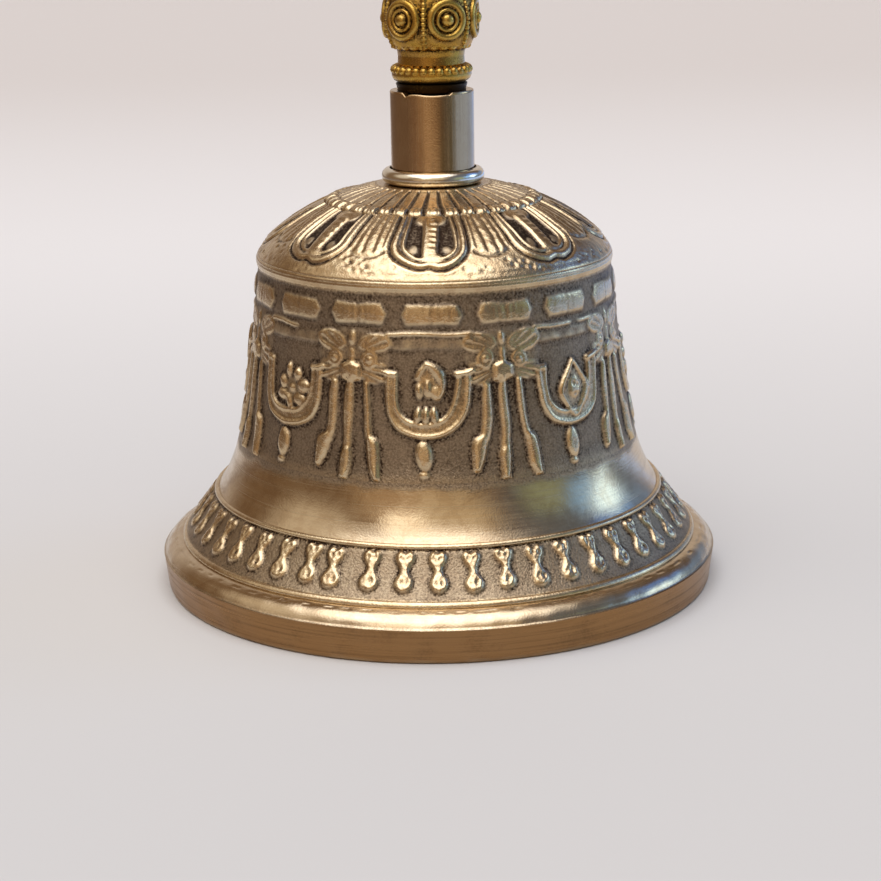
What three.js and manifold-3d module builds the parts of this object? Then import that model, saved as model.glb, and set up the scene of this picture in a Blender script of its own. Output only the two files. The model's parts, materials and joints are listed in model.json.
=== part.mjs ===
// A Tibetan hand bell standing on its mouth: a cast bronze bell, a tube on its crown, a brass
// handle that is pitched into the tube, and a clapper that hangs from an eye pin in the crown.
// Millimetres, +Z up, with the origin at the centre of the mouth's plane.

import * as THREE from 'three';
import { mergeVertices } from 'three/addons/utils/BufferGeometryUtils.js';
import Module from 'manifold-3d';

const wasm = await Module();
wasm.setup();

// Fits between pieces
const FIT_GAP = 0.3; // between a round piece and the bore that it sits in
const RUNNING_GAP = 0.3; // between pieces that move on each other

// Bell body, outside
const MOUTH_RADIUS = 45;
const LIP_TAPER = 0.6; // how much narrower the lip is at its foot
const LIP_HEIGHT = 5.4;
const LIP_SWELL = 0.55; // how far the slope above the lip is arched
const FRIEZE_FOOT_RADIUS = 41.8;
const FRIEZE_FOOT_HEIGHT = 7.7;
const FRIEZE_TOP_RADIUS = 35.7;
const FRIEZE_TOP_HEIGHT = 15.6;
const FRIEZE_HOLLOW = 0.2; // how far the frieze is hollowed out between its two beads
const FRIEZE_BEAD_WIDTH = 1;
const FRIEZE_BEAD_RISE = 0.4;
const GARLAND_TOP_HEIGHT = 45;
const STRING_WIDTH = 1.3; // the two fine ridges that frame the band of bars
const STRING_RISE = 0.35;
const SHOULDER_RADIUS = 28.1;
const SHOULDER_HEIGHT = 51.7;
const SHOULDER_RIDGE_WIDTH = 1.6;
const SHOULDER_RIDGE_RISE = 0.2;
const WALL_TAPER = 0.118; // widening of the straight wall for each millimetre below the shoulder
const FLARE_LENGTH = 5.4; // height in which the flare above the frieze fades to about a third
const CROWN_MARGIN = 0.6; // flat of the crown that shows round the collar
const CROWN_HEIGHT = 64;
const DOME_POWER = 1.42; // superellipse power: 1 is a cone, 2 an ellipse

// Bell body, inside
const WALL = 2.6;
const LIP_WALL = 4.2;

// Collar ring and tube on the crown
const TUBE_RADIUS = 6.55;
const TUBE_WALL = 1.15;
const TUBE_LENGTH = 14.5;
const COLLAR_BAND = 1.55; // how far the collar stands out from the tube
const COLLAR_HEIGHT = 2.4;
const PITCH_SINK = 0.4; // how far the pitch lies below the tube's edge
const PITCH_FLOOR = 1.5; // pitch below the end of the handle's tang
const HEAD_ROOM = 1.9; // air between the hanger pin's head and the pitch

// Handle stem, stacked from its foot upwards
const TANG_RADIUS = 2.4;
const FOOT_RADIUS = 5.6;
const FOOT_HEIGHT = 1.6;
const RING_RADIUS = 6.45;
const RING_HEIGHT = 2.7;
const NECK_RADIUS = 5.35;
const NECK_HEIGHT = 2.6;
const GLOBE_RADIUS = 7.3;
const GLOBE_END_RADIUS = 6.1;
const GLOBE_HEIGHT = 9;
const ROSETTE_COUNT = 6;
const ROSETTE_RADIUS = 3;
const ROSETTE_RISE = 0.5;
const ROSETTE_BOSS_RADIUS = 1.2;
const ROSETTE_TURN = 21; // degrees from the front to the first rosette
const GRIP_RADIUS = 6.7;
const GRIP_END_RADIUS = 5.3;
const GRIP_HEIGHT = 14;
const BINDING_RADIUS = 5.9;
const BINDING_HEIGHT = 1.8;
const LOTUS_FOOT_RADIUS = 5.2;
const LOTUS_RADIUS = 8.8;
const LOTUS_HEIGHT = 10.5;
const DISC_RADIUS = 8.2;
const DISC_HEIGHT = 1.6;

// Half vajra on top of the handle
const PEG_RADIUS = 2.2;
const PEG_LENGTH = 6;
const HUB_FOOT_RADIUS = 5.4;
const HUB_RADIUS = 7.2;
const HUB_HEIGHT = 7;
const PRONG_COUNT = 8;
const PRONG_WIDTH = 3.2;
const PRONG_THICKNESS = 2.6;
const PRONG_ROOT_RADIUS = 4.6;
const PRONG_BELLY_RADIUS = 10;
const PRONG_TIP_RADIUS = 1.8;
const PRONG_HEIGHT = 29;
const CORE_RADIUS = 2.1;
const CORE_BELLY_RADIUS = 3.2;
const TIP_RADIUS = 3.6;
const TIP_HEIGHT = 6;

// Hanger pin and washer in the crown
const PIN_RADIUS = 1.6;
const PIN_HEAD_LIP = 1.2; // how far the peened head stands out from the pin
const PIN_HEAD_HEIGHT = 1.5;
const WASHER_EASE = 1.1; // between the washer's edge and the tube
const WASHER_THICKNESS = 0.9;
const EYE_RADIUS = 3.2; // to the middle of the wire
const EYE_WIRE_RADIUS = 1;
const EYE_DROP = 1.2; // from the crown's underside to the top of the eye

// Clapper
const ROD_RADIUS = 1.3;
const CLAPPER_LIFT = 4.5; // from the mouth's plane up to the end of the rod
const BULB_RADIUS = 6.5;
const BULB_FOOT_RADIUS = 2.8;
const BULB_NECK_RADIUS = 2.3;
const BULB_UPPER_HEIGHT = 9;
const BULB_LOWER_HEIGHT = 5.2;
const RIVET_RADIUS = 2.5;
const RIVET_HEIGHT = 1.4;

// Fineness of the round forms
const BODY_SIDES = 48;
const HANDLE_SIDES = 24;
const SMALL_SIDES = 20;
const BEAD_STEPS = 4;

const at = (radius, height) => new THREE.Vector2(radius, height);

// A half round ridge from one outline point to the next, standing out to the right of the way
function ridge(from, to, rise) {
  const along = to.clone().sub(from);
  const outward = at(along.y, -along.x).normalize();
  const points = [];
  for (let step = 0; step <= BEAD_STEPS; step += 1) {
    const turn = (Math.PI * step) / BEAD_STEPS;
    const point = from.clone().addScaledVector(along, (1 - Math.cos(turn)) / 2);
    points.push(point.addScaledVector(outward, rise * Math.sin(turn)));
  }
  return points;
}

// A shallow curve between two outline points through a middle that stands aside of their line
function bow(from, to, aside, steps) {
  const along = to.clone().sub(from);
  const outward = at(along.y, -along.x).normalize();
  const middle = from.clone().add(to).multiplyScalar(0.5).addScaledVector(outward, 2 * aside);
  return new THREE.QuadraticBezierCurve(from, middle, to).getPoints(steps);
}

// A smooth line through a few chosen outline points
function smooth(points, steps) {
  return new THREE.SplineCurve(points).getPoints(steps);
}

// Outline points turned about the Z axis
function turned(outline, sides) {
  const points = outline.filter((point, index) => {
    return index === 0 || point.distanceTo(outline[index - 1]) > 1e-6;
  });
  return new THREE.LatheGeometry(points, sides).rotateX(Math.PI / 2);
}

// A closed outline in radius and height: its first point again at its end
function closed(outline) {
  return [...outline, outline[0].clone()];
}

function solidOf(geometry) {
  const plain = geometry.clone();
  plain.deleteAttribute('normal');
  plain.deleteAttribute('uv');
  const merged = mergeVertices(plain, 1e-4);
  const index = merged.getIndex().array;
  const triangles = [];
  for (let i = 0; i < index.length; i += 3) {
    const [a, b, c] = [index[i], index[i + 1], index[i + 2]];
    if (a !== b && b !== c && c !== a) {
      triangles.push(a, b, c);
    }
  }
  const vertProperties = new Float32Array(merged.getAttribute('position').array);
  const triVerts = new Uint32Array(triangles);
  return new wasm.Manifold(new wasm.Mesh({ numProp: 3, vertProperties, triVerts }));
}

function geometryOf(solid) {
  const { vertProperties, triVerts } = solid.getMesh();
  const geometry = new THREE.BufferGeometry();
  geometry.setAttribute('position', new THREE.BufferAttribute(new Float32Array(vertProperties), 3));
  geometry.setIndex(new THREE.BufferAttribute(new Uint32Array(triVerts), 1));
  geometry.computeVertexNormals();
  return geometry;
}

function joined(geometries) {
  const solids = geometries.map(solidOf);
  return geometryOf(solids.reduce((sum, solid) => sum.add(solid)));
}

function metal(color, roughness) {
  return new THREE.MeshStandardMaterial({ color, roughness, metalness: 1 });
}

const castBronze = metal(0x8c7152, 0.42);
const turnedBronze = metal(0x93744f, 0.34);
const castBrass = metal(0xa8822f, 0.36);
const iron = metal(0x4a4541, 0.6);
const pitch = new THREE.MeshStandardMaterial({ color: 0x1b1512, roughness: 0.7, metalness: 0 });

function piece(name, geometry, material) {
  const mesh = new THREE.Mesh(geometry, material);
  mesh.name = name;
  return mesh;
}

// Radius of the plain wall between the frieze and the shoulder at a height
function wallRadius(height) {
  const straight = SHOULDER_RADIUS + WALL_TAPER * (SHOULDER_HEIGHT - height);
  const straightAtFrieze = SHOULDER_RADIUS + WALL_TAPER * (SHOULDER_HEIGHT - FRIEZE_TOP_HEIGHT);
  const flare = FRIEZE_TOP_RADIUS - straightAtFrieze;
  return straight + flare * Math.exp((FRIEZE_TOP_HEIGHT - height) / FLARE_LENGTH);
}

// The wall's line between two heights, closer together at its lower end, moved inwards so far that
// a wall of the given thickness is left
function wallLine(bottom, top, thickness, steps) {
  const points = [];
  for (let step = 0; step <= steps; step += 1) {
    const height = bottom + (top - bottom) * (step / steps) ** 1.4;
    const slope = (wallRadius(height + 0.01) - wallRadius(height)) / 0.01;
    points.push(at(wallRadius(height) - thickness * Math.hypot(1, slope), height));
  }
  return points;
}

// A quarter of a superellipse from the shoulder to the flat of the crown
function domeLine(shoulderRadius, crownRadius, bottom, top, steps) {
  const points = [];
  for (let step = 0; step <= steps; step += 1) {
    const turn = (Math.PI / 2) * (step / steps);
    const reach = Math.cos(turn) ** (2 / DOME_POWER);
    const rise = Math.sin(turn) ** (2 / DOME_POWER);
    points.push(at(crownRadius + (shoulderRadius - crownRadius) * reach, bottom + (top - bottom) * rise));
  }
  return points;
}

const tubeBore = TUBE_RADIUS - TUBE_WALL;
const collarRadius = TUBE_RADIUS + COLLAR_BAND;
const crownUnderside = CROWN_HEIGHT - WALL;
const crownHole = PIN_RADIUS + RUNNING_GAP;

function bellBody() {
  const friezeFoot = at(FRIEZE_FOOT_RADIUS, FRIEZE_FOOT_HEIGHT);
  const friezeTop = at(FRIEZE_TOP_RADIUS, FRIEZE_TOP_HEIGHT);
  const upFrieze = friezeTop.clone().sub(friezeFoot).setLength(FRIEZE_BEAD_WIDTH);
  const bandFoot = GARLAND_TOP_HEIGHT + STRING_WIDTH;
  const bandTop = SHOULDER_HEIGHT - STRING_WIDTH;
  const ridgeTop = SHOULDER_HEIGHT + SHOULDER_RIDGE_WIDTH;
  const onWall = (height) => at(wallRadius(height), height);
  const outside = [
    at(MOUTH_RADIUS - LIP_TAPER, 0),
    ...bow(at(MOUTH_RADIUS, LIP_HEIGHT), friezeFoot, LIP_SWELL, 4),
    ...ridge(friezeFoot, friezeFoot.clone().add(upFrieze), FRIEZE_BEAD_RISE),
    ...bow(friezeFoot.clone().add(upFrieze), friezeTop.clone().sub(upFrieze), -FRIEZE_HOLLOW, 4),
    ...ridge(friezeTop.clone().sub(upFrieze), friezeTop, FRIEZE_BEAD_RISE),
    ...wallLine(FRIEZE_TOP_HEIGHT, GARLAND_TOP_HEIGHT, 0, 8),
    ...ridge(onWall(GARLAND_TOP_HEIGHT), onWall(bandFoot), STRING_RISE),
    ...ridge(onWall(bandTop), onWall(SHOULDER_HEIGHT), STRING_RISE),
    ...ridge(at(SHOULDER_RADIUS, SHOULDER_HEIGHT), at(SHOULDER_RADIUS, ridgeTop), SHOULDER_RIDGE_RISE),
    ...domeLine(SHOULDER_RADIUS, collarRadius + CROWN_MARGIN, ridgeTop, CROWN_HEIGHT, 8),
    at(crownHole, CROWN_HEIGHT),
  ];
  const innerShoulder = wallLine(SHOULDER_HEIGHT - WALL, SHOULDER_HEIGHT - WALL, WALL, 1)[0];
  const innerWall = wallLine(FRIEZE_TOP_HEIGHT, innerShoulder.y, WALL, 6).reverse();
  const inside = [
    ...domeLine(innerShoulder.x, crownHole, innerShoulder.y, crownUnderside, 7).reverse(),
    ...innerWall,
    ...bow(innerWall.at(-1), at(MOUTH_RADIUS - LIP_TAPER - LIP_WALL, 0), FRIEZE_HOLLOW, 4),
  ];
  return turned(closed([...outside, ...inside]), BODY_SIDES);
}

function collarRing() {
  const bore = TUBE_RADIUS + FIT_GAP;
  const seat = bore + FIT_GAP;
  return turned(closed([
    at(bore, 0),
    ...ridge(at(seat, 0), at(seat, COLLAR_HEIGHT), collarRadius - seat),
    at(bore, COLLAR_HEIGHT),
  ]), HANDLE_SIDES);
}

function socketTube() {
  return turned(closed([
    at(tubeBore, 0),
    at(TUBE_RADIUS, 0),
    at(TUBE_RADIUS, TUBE_LENGTH),
    at(tubeBore, TUBE_LENGTH),
  ]), HANDLE_SIDES);
}

const pinHeadFoot = WASHER_THICKNESS + RUNNING_GAP; // above the crown
const pitchFoot = pinHeadFoot + PIN_HEAD_HEIGHT + HEAD_ROOM;
const pitchDepth = TUBE_LENGTH - PITCH_SINK - pitchFoot;
const tangLength = pitchDepth - PITCH_FLOOR - FIT_GAP;

// A plug with a blind hole for the tang, its top at height 0
function pitchFill() {
  const socket = TANG_RADIUS + FIT_GAP;
  const socketFloor = PITCH_FLOOR - pitchDepth;
  return turned([
    at(0, -pitchDepth),
    at(tubeBore - FIT_GAP, -pitchDepth),
    at(tubeBore - FIT_GAP, 0),
    at(socket, 0),
    at(socket, socketFloor),
    at(0, socketFloor),
  ], SMALL_SIDES);
}

const ringFoot = FOOT_HEIGHT;
const neckFoot = ringFoot + RING_HEIGHT;
const globeFoot = neckFoot + NECK_HEIGHT;
const globeMiddle = globeFoot + GLOBE_HEIGHT / 2;
const upperNeckFoot = globeFoot + GLOBE_HEIGHT;
const upperRingFoot = upperNeckFoot + NECK_HEIGHT;
const gripFoot = upperRingFoot + RING_HEIGHT;
const bindingFoot = gripFoot + GRIP_HEIGHT;
const lotusFoot = bindingFoot + 2 * BINDING_HEIGHT;
const discFoot = lotusFoot + LOTUS_HEIGHT;
const stemTop = discFoot + DISC_HEIGHT;

// One round rosette on the globe: a low disc with a rounded edge and a boss in its middle
function rosette(number) {
  const floor = -ROSETTE_RADIUS / 2;
  const disc = turned([
    at(0, floor),
    at(ROSETTE_RADIUS, floor),
    at(ROSETTE_RADIUS, 0),
    at(ROSETTE_RADIUS * 0.8, ROSETTE_RISE),
    at(ROSETTE_BOSS_RADIUS, ROSETTE_RISE / 2),
    at(ROSETTE_BOSS_RADIUS / 2, ROSETTE_RISE),
    at(0, ROSETTE_RISE),
  ], 10);
  const direction = THREE.MathUtils.degToRad(ROSETTE_TURN - 90 + (360 * number) / ROSETTE_COUNT);
  return disc
    .rotateY(Math.PI / 2)
    .translate(GLOBE_RADIUS, 0, globeMiddle)
    .rotateZ(direction);
}

// The brass stem with its foot at height 0 and its tang below
function handleStem() {
  const foot = tubeBore - FIT_GAP;
  const ringSeat = RING_RADIUS - RING_HEIGHT / 2;
  const bindingSeat = BINDING_RADIUS - BINDING_HEIGHT / 2;
  const peg = PEG_RADIUS + FIT_GAP;
  const pegFloor = stemTop - PEG_LENGTH - FIT_GAP;
  const rings = (bottom, radius, seat, height) => {
    return ridge(at(seat, bottom), at(seat, bottom + height), radius - seat);
  };
  const outline = [
    at(0, -tangLength),
    at(TANG_RADIUS, -tangLength),
    at(TANG_RADIUS, 0),
    at(foot, 0),
    at(FOOT_RADIUS, FOOT_HEIGHT),
    ...rings(ringFoot, RING_RADIUS, ringSeat, RING_HEIGHT),
    at(NECK_RADIUS, neckFoot),
    at(NECK_RADIUS, globeFoot),
    ...bow(
      at(GLOBE_END_RADIUS, globeFoot),
      at(GLOBE_END_RADIUS, upperNeckFoot),
      GLOBE_RADIUS - GLOBE_END_RADIUS,
      6,
    ),
    at(NECK_RADIUS, upperNeckFoot),
    at(NECK_RADIUS, upperRingFoot),
    ...rings(upperRingFoot, RING_RADIUS, ringSeat, RING_HEIGHT),
    ...smooth([
      at(GRIP_END_RADIUS, gripFoot),
      at(GRIP_RADIUS, gripFoot + GRIP_HEIGHT * 0.4),
      at(GRIP_END_RADIUS, bindingFoot),
    ], 6),
    ...rings(bindingFoot, BINDING_RADIUS, bindingSeat, BINDING_HEIGHT),
    ...rings(bindingFoot + BINDING_HEIGHT, BINDING_RADIUS, bindingSeat, BINDING_HEIGHT),
    ...smooth([
      at(LOTUS_FOOT_RADIUS, lotusFoot),
      at(LOTUS_RADIUS * 0.86, lotusFoot + LOTUS_HEIGHT * 0.45),
      at(LOTUS_RADIUS, discFoot),
    ], 5),
    at(DISC_RADIUS, discFoot),
    at(DISC_RADIUS, stemTop),
    at(peg, stemTop),
    at(peg, pegFloor),
    at(0, pegFloor),
  ];
  const rosettes = Array.from({ length: ROSETTE_COUNT }, (_, number) => rosette(number));
  return joined([turned(outline, HANDLE_SIDES), ...rosettes]);
}

// One outer prong: a flat bar that swells out from the hub and closes on the tip
function prong(number) {
  const section = new THREE.Shape();
  section.moveTo(-PRONG_THICKNESS / 2, -PRONG_WIDTH / 4);
  section.lineTo(0, -PRONG_WIDTH / 2);
  section.lineTo(PRONG_THICKNESS / 2, -PRONG_WIDTH / 4);
  section.lineTo(PRONG_THICKNESS / 2, PRONG_WIDTH / 4);
  section.lineTo(0, PRONG_WIDTH / 2);
  section.lineTo(-PRONG_THICKNESS / 2, PRONG_WIDTH / 4);
  const foot = HUB_HEIGHT * 0.7;
  const path = new THREE.CatmullRomCurve3([
    new THREE.Vector3(PRONG_ROOT_RADIUS, 0, foot),
    new THREE.Vector3(PRONG_BELLY_RADIUS * 0.9, 0, foot + PRONG_HEIGHT * 0.18),
    new THREE.Vector3(PRONG_BELLY_RADIUS, 0, foot + PRONG_HEIGHT * 0.38),
    new THREE.Vector3(PRONG_BELLY_RADIUS * 0.78, 0, foot + PRONG_HEIGHT * 0.68),
    new THREE.Vector3(PRONG_TIP_RADIUS, 0, foot + PRONG_HEIGHT),
  ]);
  const direction = (2 * Math.PI * (number + 0.5)) / PRONG_COUNT;
  const options = { steps: 10, bevelEnabled: false, extrudePath: path };
  return new THREE.ExtrudeGeometry(section, options).rotateZ(direction);
}

// The half vajra with its seat at height 0 and its peg below
function vajraHead() {
  const tipFoot = HUB_HEIGHT * 0.7 + PRONG_HEIGHT - TIP_HEIGHT / 3;
  const core = turned([
    at(0, -PEG_LENGTH),
    at(PEG_RADIUS, -PEG_LENGTH),
    at(PEG_RADIUS, 0),
    ...smooth([
      at(HUB_FOOT_RADIUS, 0),
      at(HUB_RADIUS, HUB_HEIGHT * 0.4),
      at(HUB_RADIUS * 0.8, HUB_HEIGHT * 0.8),
      at(CORE_RADIUS, HUB_HEIGHT),
    ], 7),
    ...smooth([
      at(CORE_RADIUS, HUB_HEIGHT + 1),
      at(CORE_BELLY_RADIUS, HUB_HEIGHT + PRONG_HEIGHT * 0.25),
      at(CORE_RADIUS, tipFoot - 1),
    ], 6),
    ...smooth([
      at(TIP_RADIUS, tipFoot),
      at(TIP_RADIUS * 0.8, tipFoot + TIP_HEIGHT * 0.45),
      at(TIP_RADIUS * 0.25, tipFoot + TIP_HEIGHT * 0.9),
      at(0, tipFoot + TIP_HEIGHT),
    ], 5),
  ], SMALL_SIDES);
  const prongs = Array.from({ length: PRONG_COUNT }, (_, number) => prong(number));
  return joined([core, ...prongs]);
}

function hangerWasher() {
  const edge = tubeBore - WASHER_EASE;
  return turned(closed([
    at(crownHole, 0),
    at(edge, 0),
    at(edge, WASHER_THICKNESS),
    at(crownHole, WASHER_THICKNESS),
  ]), SMALL_SIDES);
}

const eyeMiddle = crownUnderside - EYE_DROP - EYE_WIRE_RADIUS - EYE_RADIUS;
const swingAxis = eyeMiddle - EYE_RADIUS;

// The eye pin, with its eye in the XZ plane and the swing axis at height 0
function hangerPin() {
  const headFoot = CROWN_HEIGHT + pinHeadFoot - swingAxis;
  const headRadius = PIN_RADIUS + PIN_HEAD_LIP;
  const eye = new THREE.TorusGeometry(EYE_RADIUS, EYE_WIRE_RADIUS, 8, 20)
    .rotateX(Math.PI / 2)
    .translate(0, 0, EYE_RADIUS);
  const shank = turned([
    at(0, 2 * EYE_RADIUS),
    at(PIN_RADIUS, 2 * EYE_RADIUS),
    at(PIN_RADIUS, headFoot),
    at(headRadius, headFoot),
    at(headRadius * 0.8, headFoot + PIN_HEAD_HEIGHT * 0.7),
    at(0, headFoot + PIN_HEAD_HEIGHT),
  ], SMALL_SIDES);
  return joined([eye, shank]);
}

const bulbFoot = CLAPPER_LIFT + RIVET_HEIGHT - swingAxis;
const bulbMiddle = bulbFoot + BULB_LOWER_HEIGHT;
const clapperEyeMiddle = 2 * EYE_WIRE_RADIUS + RUNNING_GAP - EYE_RADIUS;

// The clapper's rod with the swing axis at height 0, its eye in the YZ plane
function clapperRod() {
  const eye = new THREE.TorusGeometry(EYE_RADIUS, EYE_WIRE_RADIUS, 8, 20)
    .rotateY(Math.PI / 2)
    .translate(0, 0, clapperEyeMiddle);
  const rod = turned([
    at(0, bulbFoot - RIVET_HEIGHT),
    at(RIVET_RADIUS * 0.8, bulbFoot - RIVET_HEIGHT * 0.6),
    at(RIVET_RADIUS, bulbFoot),
    at(ROD_RADIUS, bulbFoot),
    at(ROD_RADIUS, clapperEyeMiddle - EYE_RADIUS),
    at(0, clapperEyeMiddle - EYE_RADIUS),
  ], SMALL_SIDES);
  return joined([eye, rod]);
}

function clapperBulb() {
  const bore = ROD_RADIUS + FIT_GAP;
  const top = bulbMiddle + BULB_UPPER_HEIGHT;
  return turned(closed([
    at(bore, bulbFoot),
    ...smooth([
      at(BULB_FOOT_RADIUS, bulbFoot),
      at(BULB_RADIUS * 0.86, bulbMiddle - BULB_LOWER_HEIGHT * 0.55),
      at(BULB_RADIUS, bulbMiddle),
      at(BULB_RADIUS * 0.78, bulbMiddle + BULB_UPPER_HEIGHT * 0.5),
      at(BULB_NECK_RADIUS, top),
    ], 8),
    at(bore, top),
  ]), SMALL_SIDES);
}

const bell = new THREE.Group();
bell.name = 'hand_bell';
bell.add(piece('bell_body', bellBody(), castBronze));

const onCrown = new THREE.Group();
onCrown.position.z = CROWN_HEIGHT;
onCrown.add(piece('collar_ring', collarRing(), turnedBronze));
onCrown.add(piece('socket_tube', socketTube(), turnedBronze));
onCrown.add(piece('hanger_washer', hangerWasher(), iron));
bell.add(onCrown);

const handle = new THREE.Group();
handle.position.z = CROWN_HEIGHT + TUBE_LENGTH - PITCH_SINK;
handle.add(piece('pitch_fill', pitchFill(), pitch));
handle.add(piece('handle_stem', handleStem(), castBrass));
const head = piece('vajra_head', vajraHead(), castBrass);
head.position.z = stemTop;
handle.add(head);
bell.add(handle);

const striker = new THREE.Group();
striker.position.z = swingAxis;
striker.add(piece('hanger_pin', hangerPin(), iron));
striker.add(piece('clapper_rod', clapperRod(), iron));
striker.add(piece('clapper_bulb', clapperBulb(), castBronze));
bell.add(striker);

export default bell;
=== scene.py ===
import json
import math

import bpy
import numpy as np
from bpy.props import FloatProperty, FloatVectorProperty, IntProperty, PointerProperty
from mathutils import Matrix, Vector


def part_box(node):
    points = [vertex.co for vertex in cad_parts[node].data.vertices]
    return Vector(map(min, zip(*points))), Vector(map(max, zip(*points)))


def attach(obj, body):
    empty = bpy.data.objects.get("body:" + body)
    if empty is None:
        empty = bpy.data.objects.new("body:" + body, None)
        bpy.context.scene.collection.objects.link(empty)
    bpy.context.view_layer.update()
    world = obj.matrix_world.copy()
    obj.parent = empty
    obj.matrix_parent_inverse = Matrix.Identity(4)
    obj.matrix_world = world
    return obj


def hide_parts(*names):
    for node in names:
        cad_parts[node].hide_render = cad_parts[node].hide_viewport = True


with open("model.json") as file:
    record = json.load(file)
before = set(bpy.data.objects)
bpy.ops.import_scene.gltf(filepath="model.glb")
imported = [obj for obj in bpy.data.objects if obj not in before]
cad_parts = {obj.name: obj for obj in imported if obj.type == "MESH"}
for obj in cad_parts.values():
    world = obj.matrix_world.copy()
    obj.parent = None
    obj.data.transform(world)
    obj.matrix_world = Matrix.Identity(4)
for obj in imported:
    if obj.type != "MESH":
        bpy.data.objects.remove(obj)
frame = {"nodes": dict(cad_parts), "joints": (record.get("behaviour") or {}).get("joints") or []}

bl_info = {
    "name": "Tibetan Hand Bell",
    "version": (1, 0, 0),
    "blender": (4, 5, 0),
    "location": "3D View > Sidebar > Hand Bell",
    "description": "A cast bronze hand bell with a brass half vajra handle",
    "category": "Add Mesh",
}

MM = 0.001
TURN = 2 * math.pi
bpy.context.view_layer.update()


def reach(name):
    """The radius, lowest and highest point of a turned CAD node, in millimetres."""
    low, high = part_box(name)
    return (high[0] - low[0]) / 2 / MM, low[2] / MM, high[2] / MM


def linear(code):
    """An sRGB hex colour such as "8c7152" as linear red, green, blue and alpha."""
    parts = np.array([int(code[i:i + 2], 16) / 255 for i in (0, 2, 4)])
    parts = np.where(parts <= 0.04045, parts / 12.92, ((parts + 0.055) / 1.055) ** 2.4)
    return (*parts.tolist(), 1.0)


def colour_setting(name, description, colour):
    """A colour in the panel: an sRGB hex colour, or light as linear red, green and blue."""
    default = linear(colour) if isinstance(colour, str) else (*colour, 1.0)
    return FloatVectorProperty(name=name, description=description, subtype="COLOR", size=4, max=10,
                               default=default)


# The bell's outline, in millimetres: the same rings as the casting in the frame
MOUTH_RADIUS, _, CROWN_HEIGHT = reach("bell_body")
COLLAR_RADIUS, COLLAR_FOOT, COLLAR_TOP = reach("collar_ring")
TUBE_RADIUS, TUBE_FOOT, TUBE_TOP = reach("socket_tube")
PITCH_RADIUS, PITCH_FOOT, PITCH_TOP = reach("pitch_fill")
DISC_RADIUS, _, STEM_TOP = reach("handle_stem")
_, _, HEAD_TOP = reach("vajra_head")
LIP_TAPER = 0.6
LIP_HEIGHT = 5.4
LIP_WALL = 4.2
LIP_SWELL = 0.55
FRIEZE_FOOT = np.array([41.8, 7.7])
FRIEZE_TOP = np.array([35.7, 15.6])
FRIEZE_HOLLOW = 0.2
BEAD_WIDTH = 1.0
BEAD_RISE = 0.4
SKIRT_TOP = 23.8
GARLAND_SPLIT = 35.2
BAND_FOOT = 46.4
SHOULDER = np.array([28.1, 51.7])
SHOULDER_RIDGE = 1.6
SHOULDER_RIDGE_RISE = 0.2
WALL_TAPER = 0.118
FLARE_LENGTH = 5.4
CROWN_FLAT = COLLAR_RADIUS + 0.6
CROWN_HOLE = 1.9
DOME_POWER = 1.42
WALL = 2.6
SKIN = 1.2  # thickness of the carved outer rings in front of the inner shell
INNER_CORNER = FRIEZE_FOOT - (4.2, 1.9)  # where the lip's inside ends and the wall's begins

# Ornament, in millimetres, as the photograph shows it
FRIEZE_RISE = 0.5
FRIEZE_RADIUS = 38.6  # radius at which the frieze's widths are measured
FRIEZE_TURN = math.radians(-0.1)
VAJRA_WAIST = 0.59  # share of the frieze's ground that lies below a vajra's waist
GARLAND_RISE = 0.6
GARLAND_SINK = 0.16  # the garland's ground below the plain wall
GARLAND_RADIUS = 29.3  # radius at which the wall's widths are measured
GARLAND_TURN = math.radians(-2.05)
BAR_TURN = math.radians(-1.05)
BAR_RISE = 0.36
BAR_HEIGHT = 48.5
BAND_SINK = 0.1
PETAL_RISE = 0.55
PETAL_SINK = 0.45
PETAL_TURN = math.radians(-1.5)
PETAL_RADIUS = 24.0  # radius at which the shoulder petals' widths are measured
FINE_TIPS = 13.7  # distance up the dome from the shoulder's ridge to the fine petals' tips

# Distance below and above the blurred surface, in millimetres, at which a mark is full
HOLLOW_DEPTH = 0.22
EDGE_HEIGHT = 0.05


class BellSizes(bpy.types.PropertyGroup):
    """Counts and depths of the cast ornament."""

    vajras: IntProperty(name="Frieze vajras", description="Upright vajras round the frieze", min=8,
                        default=48)
    loops: IntProperty(name="Garland loops", description="Loops and masks round the wall", min=4, default=8)
    bars: IntProperty(name="Bars", description="Lying vajra bars under the shoulder", min=4, default=16)
    petals: IntProperty(name="Lotus petals", description="Large petals on the shoulder", min=4, default=8)
    fine_petals: IntProperty(name="Fine petals", description="Narrow petals round the collar", min=8,
                             default=40)
    mesh_step: FloatProperty(
        name="Mesh step", description="Spacing of the carved surface's points",
        default=0.00016, min=0.0001, max=0.001, unit="LENGTH", precision=5,
    )


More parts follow.
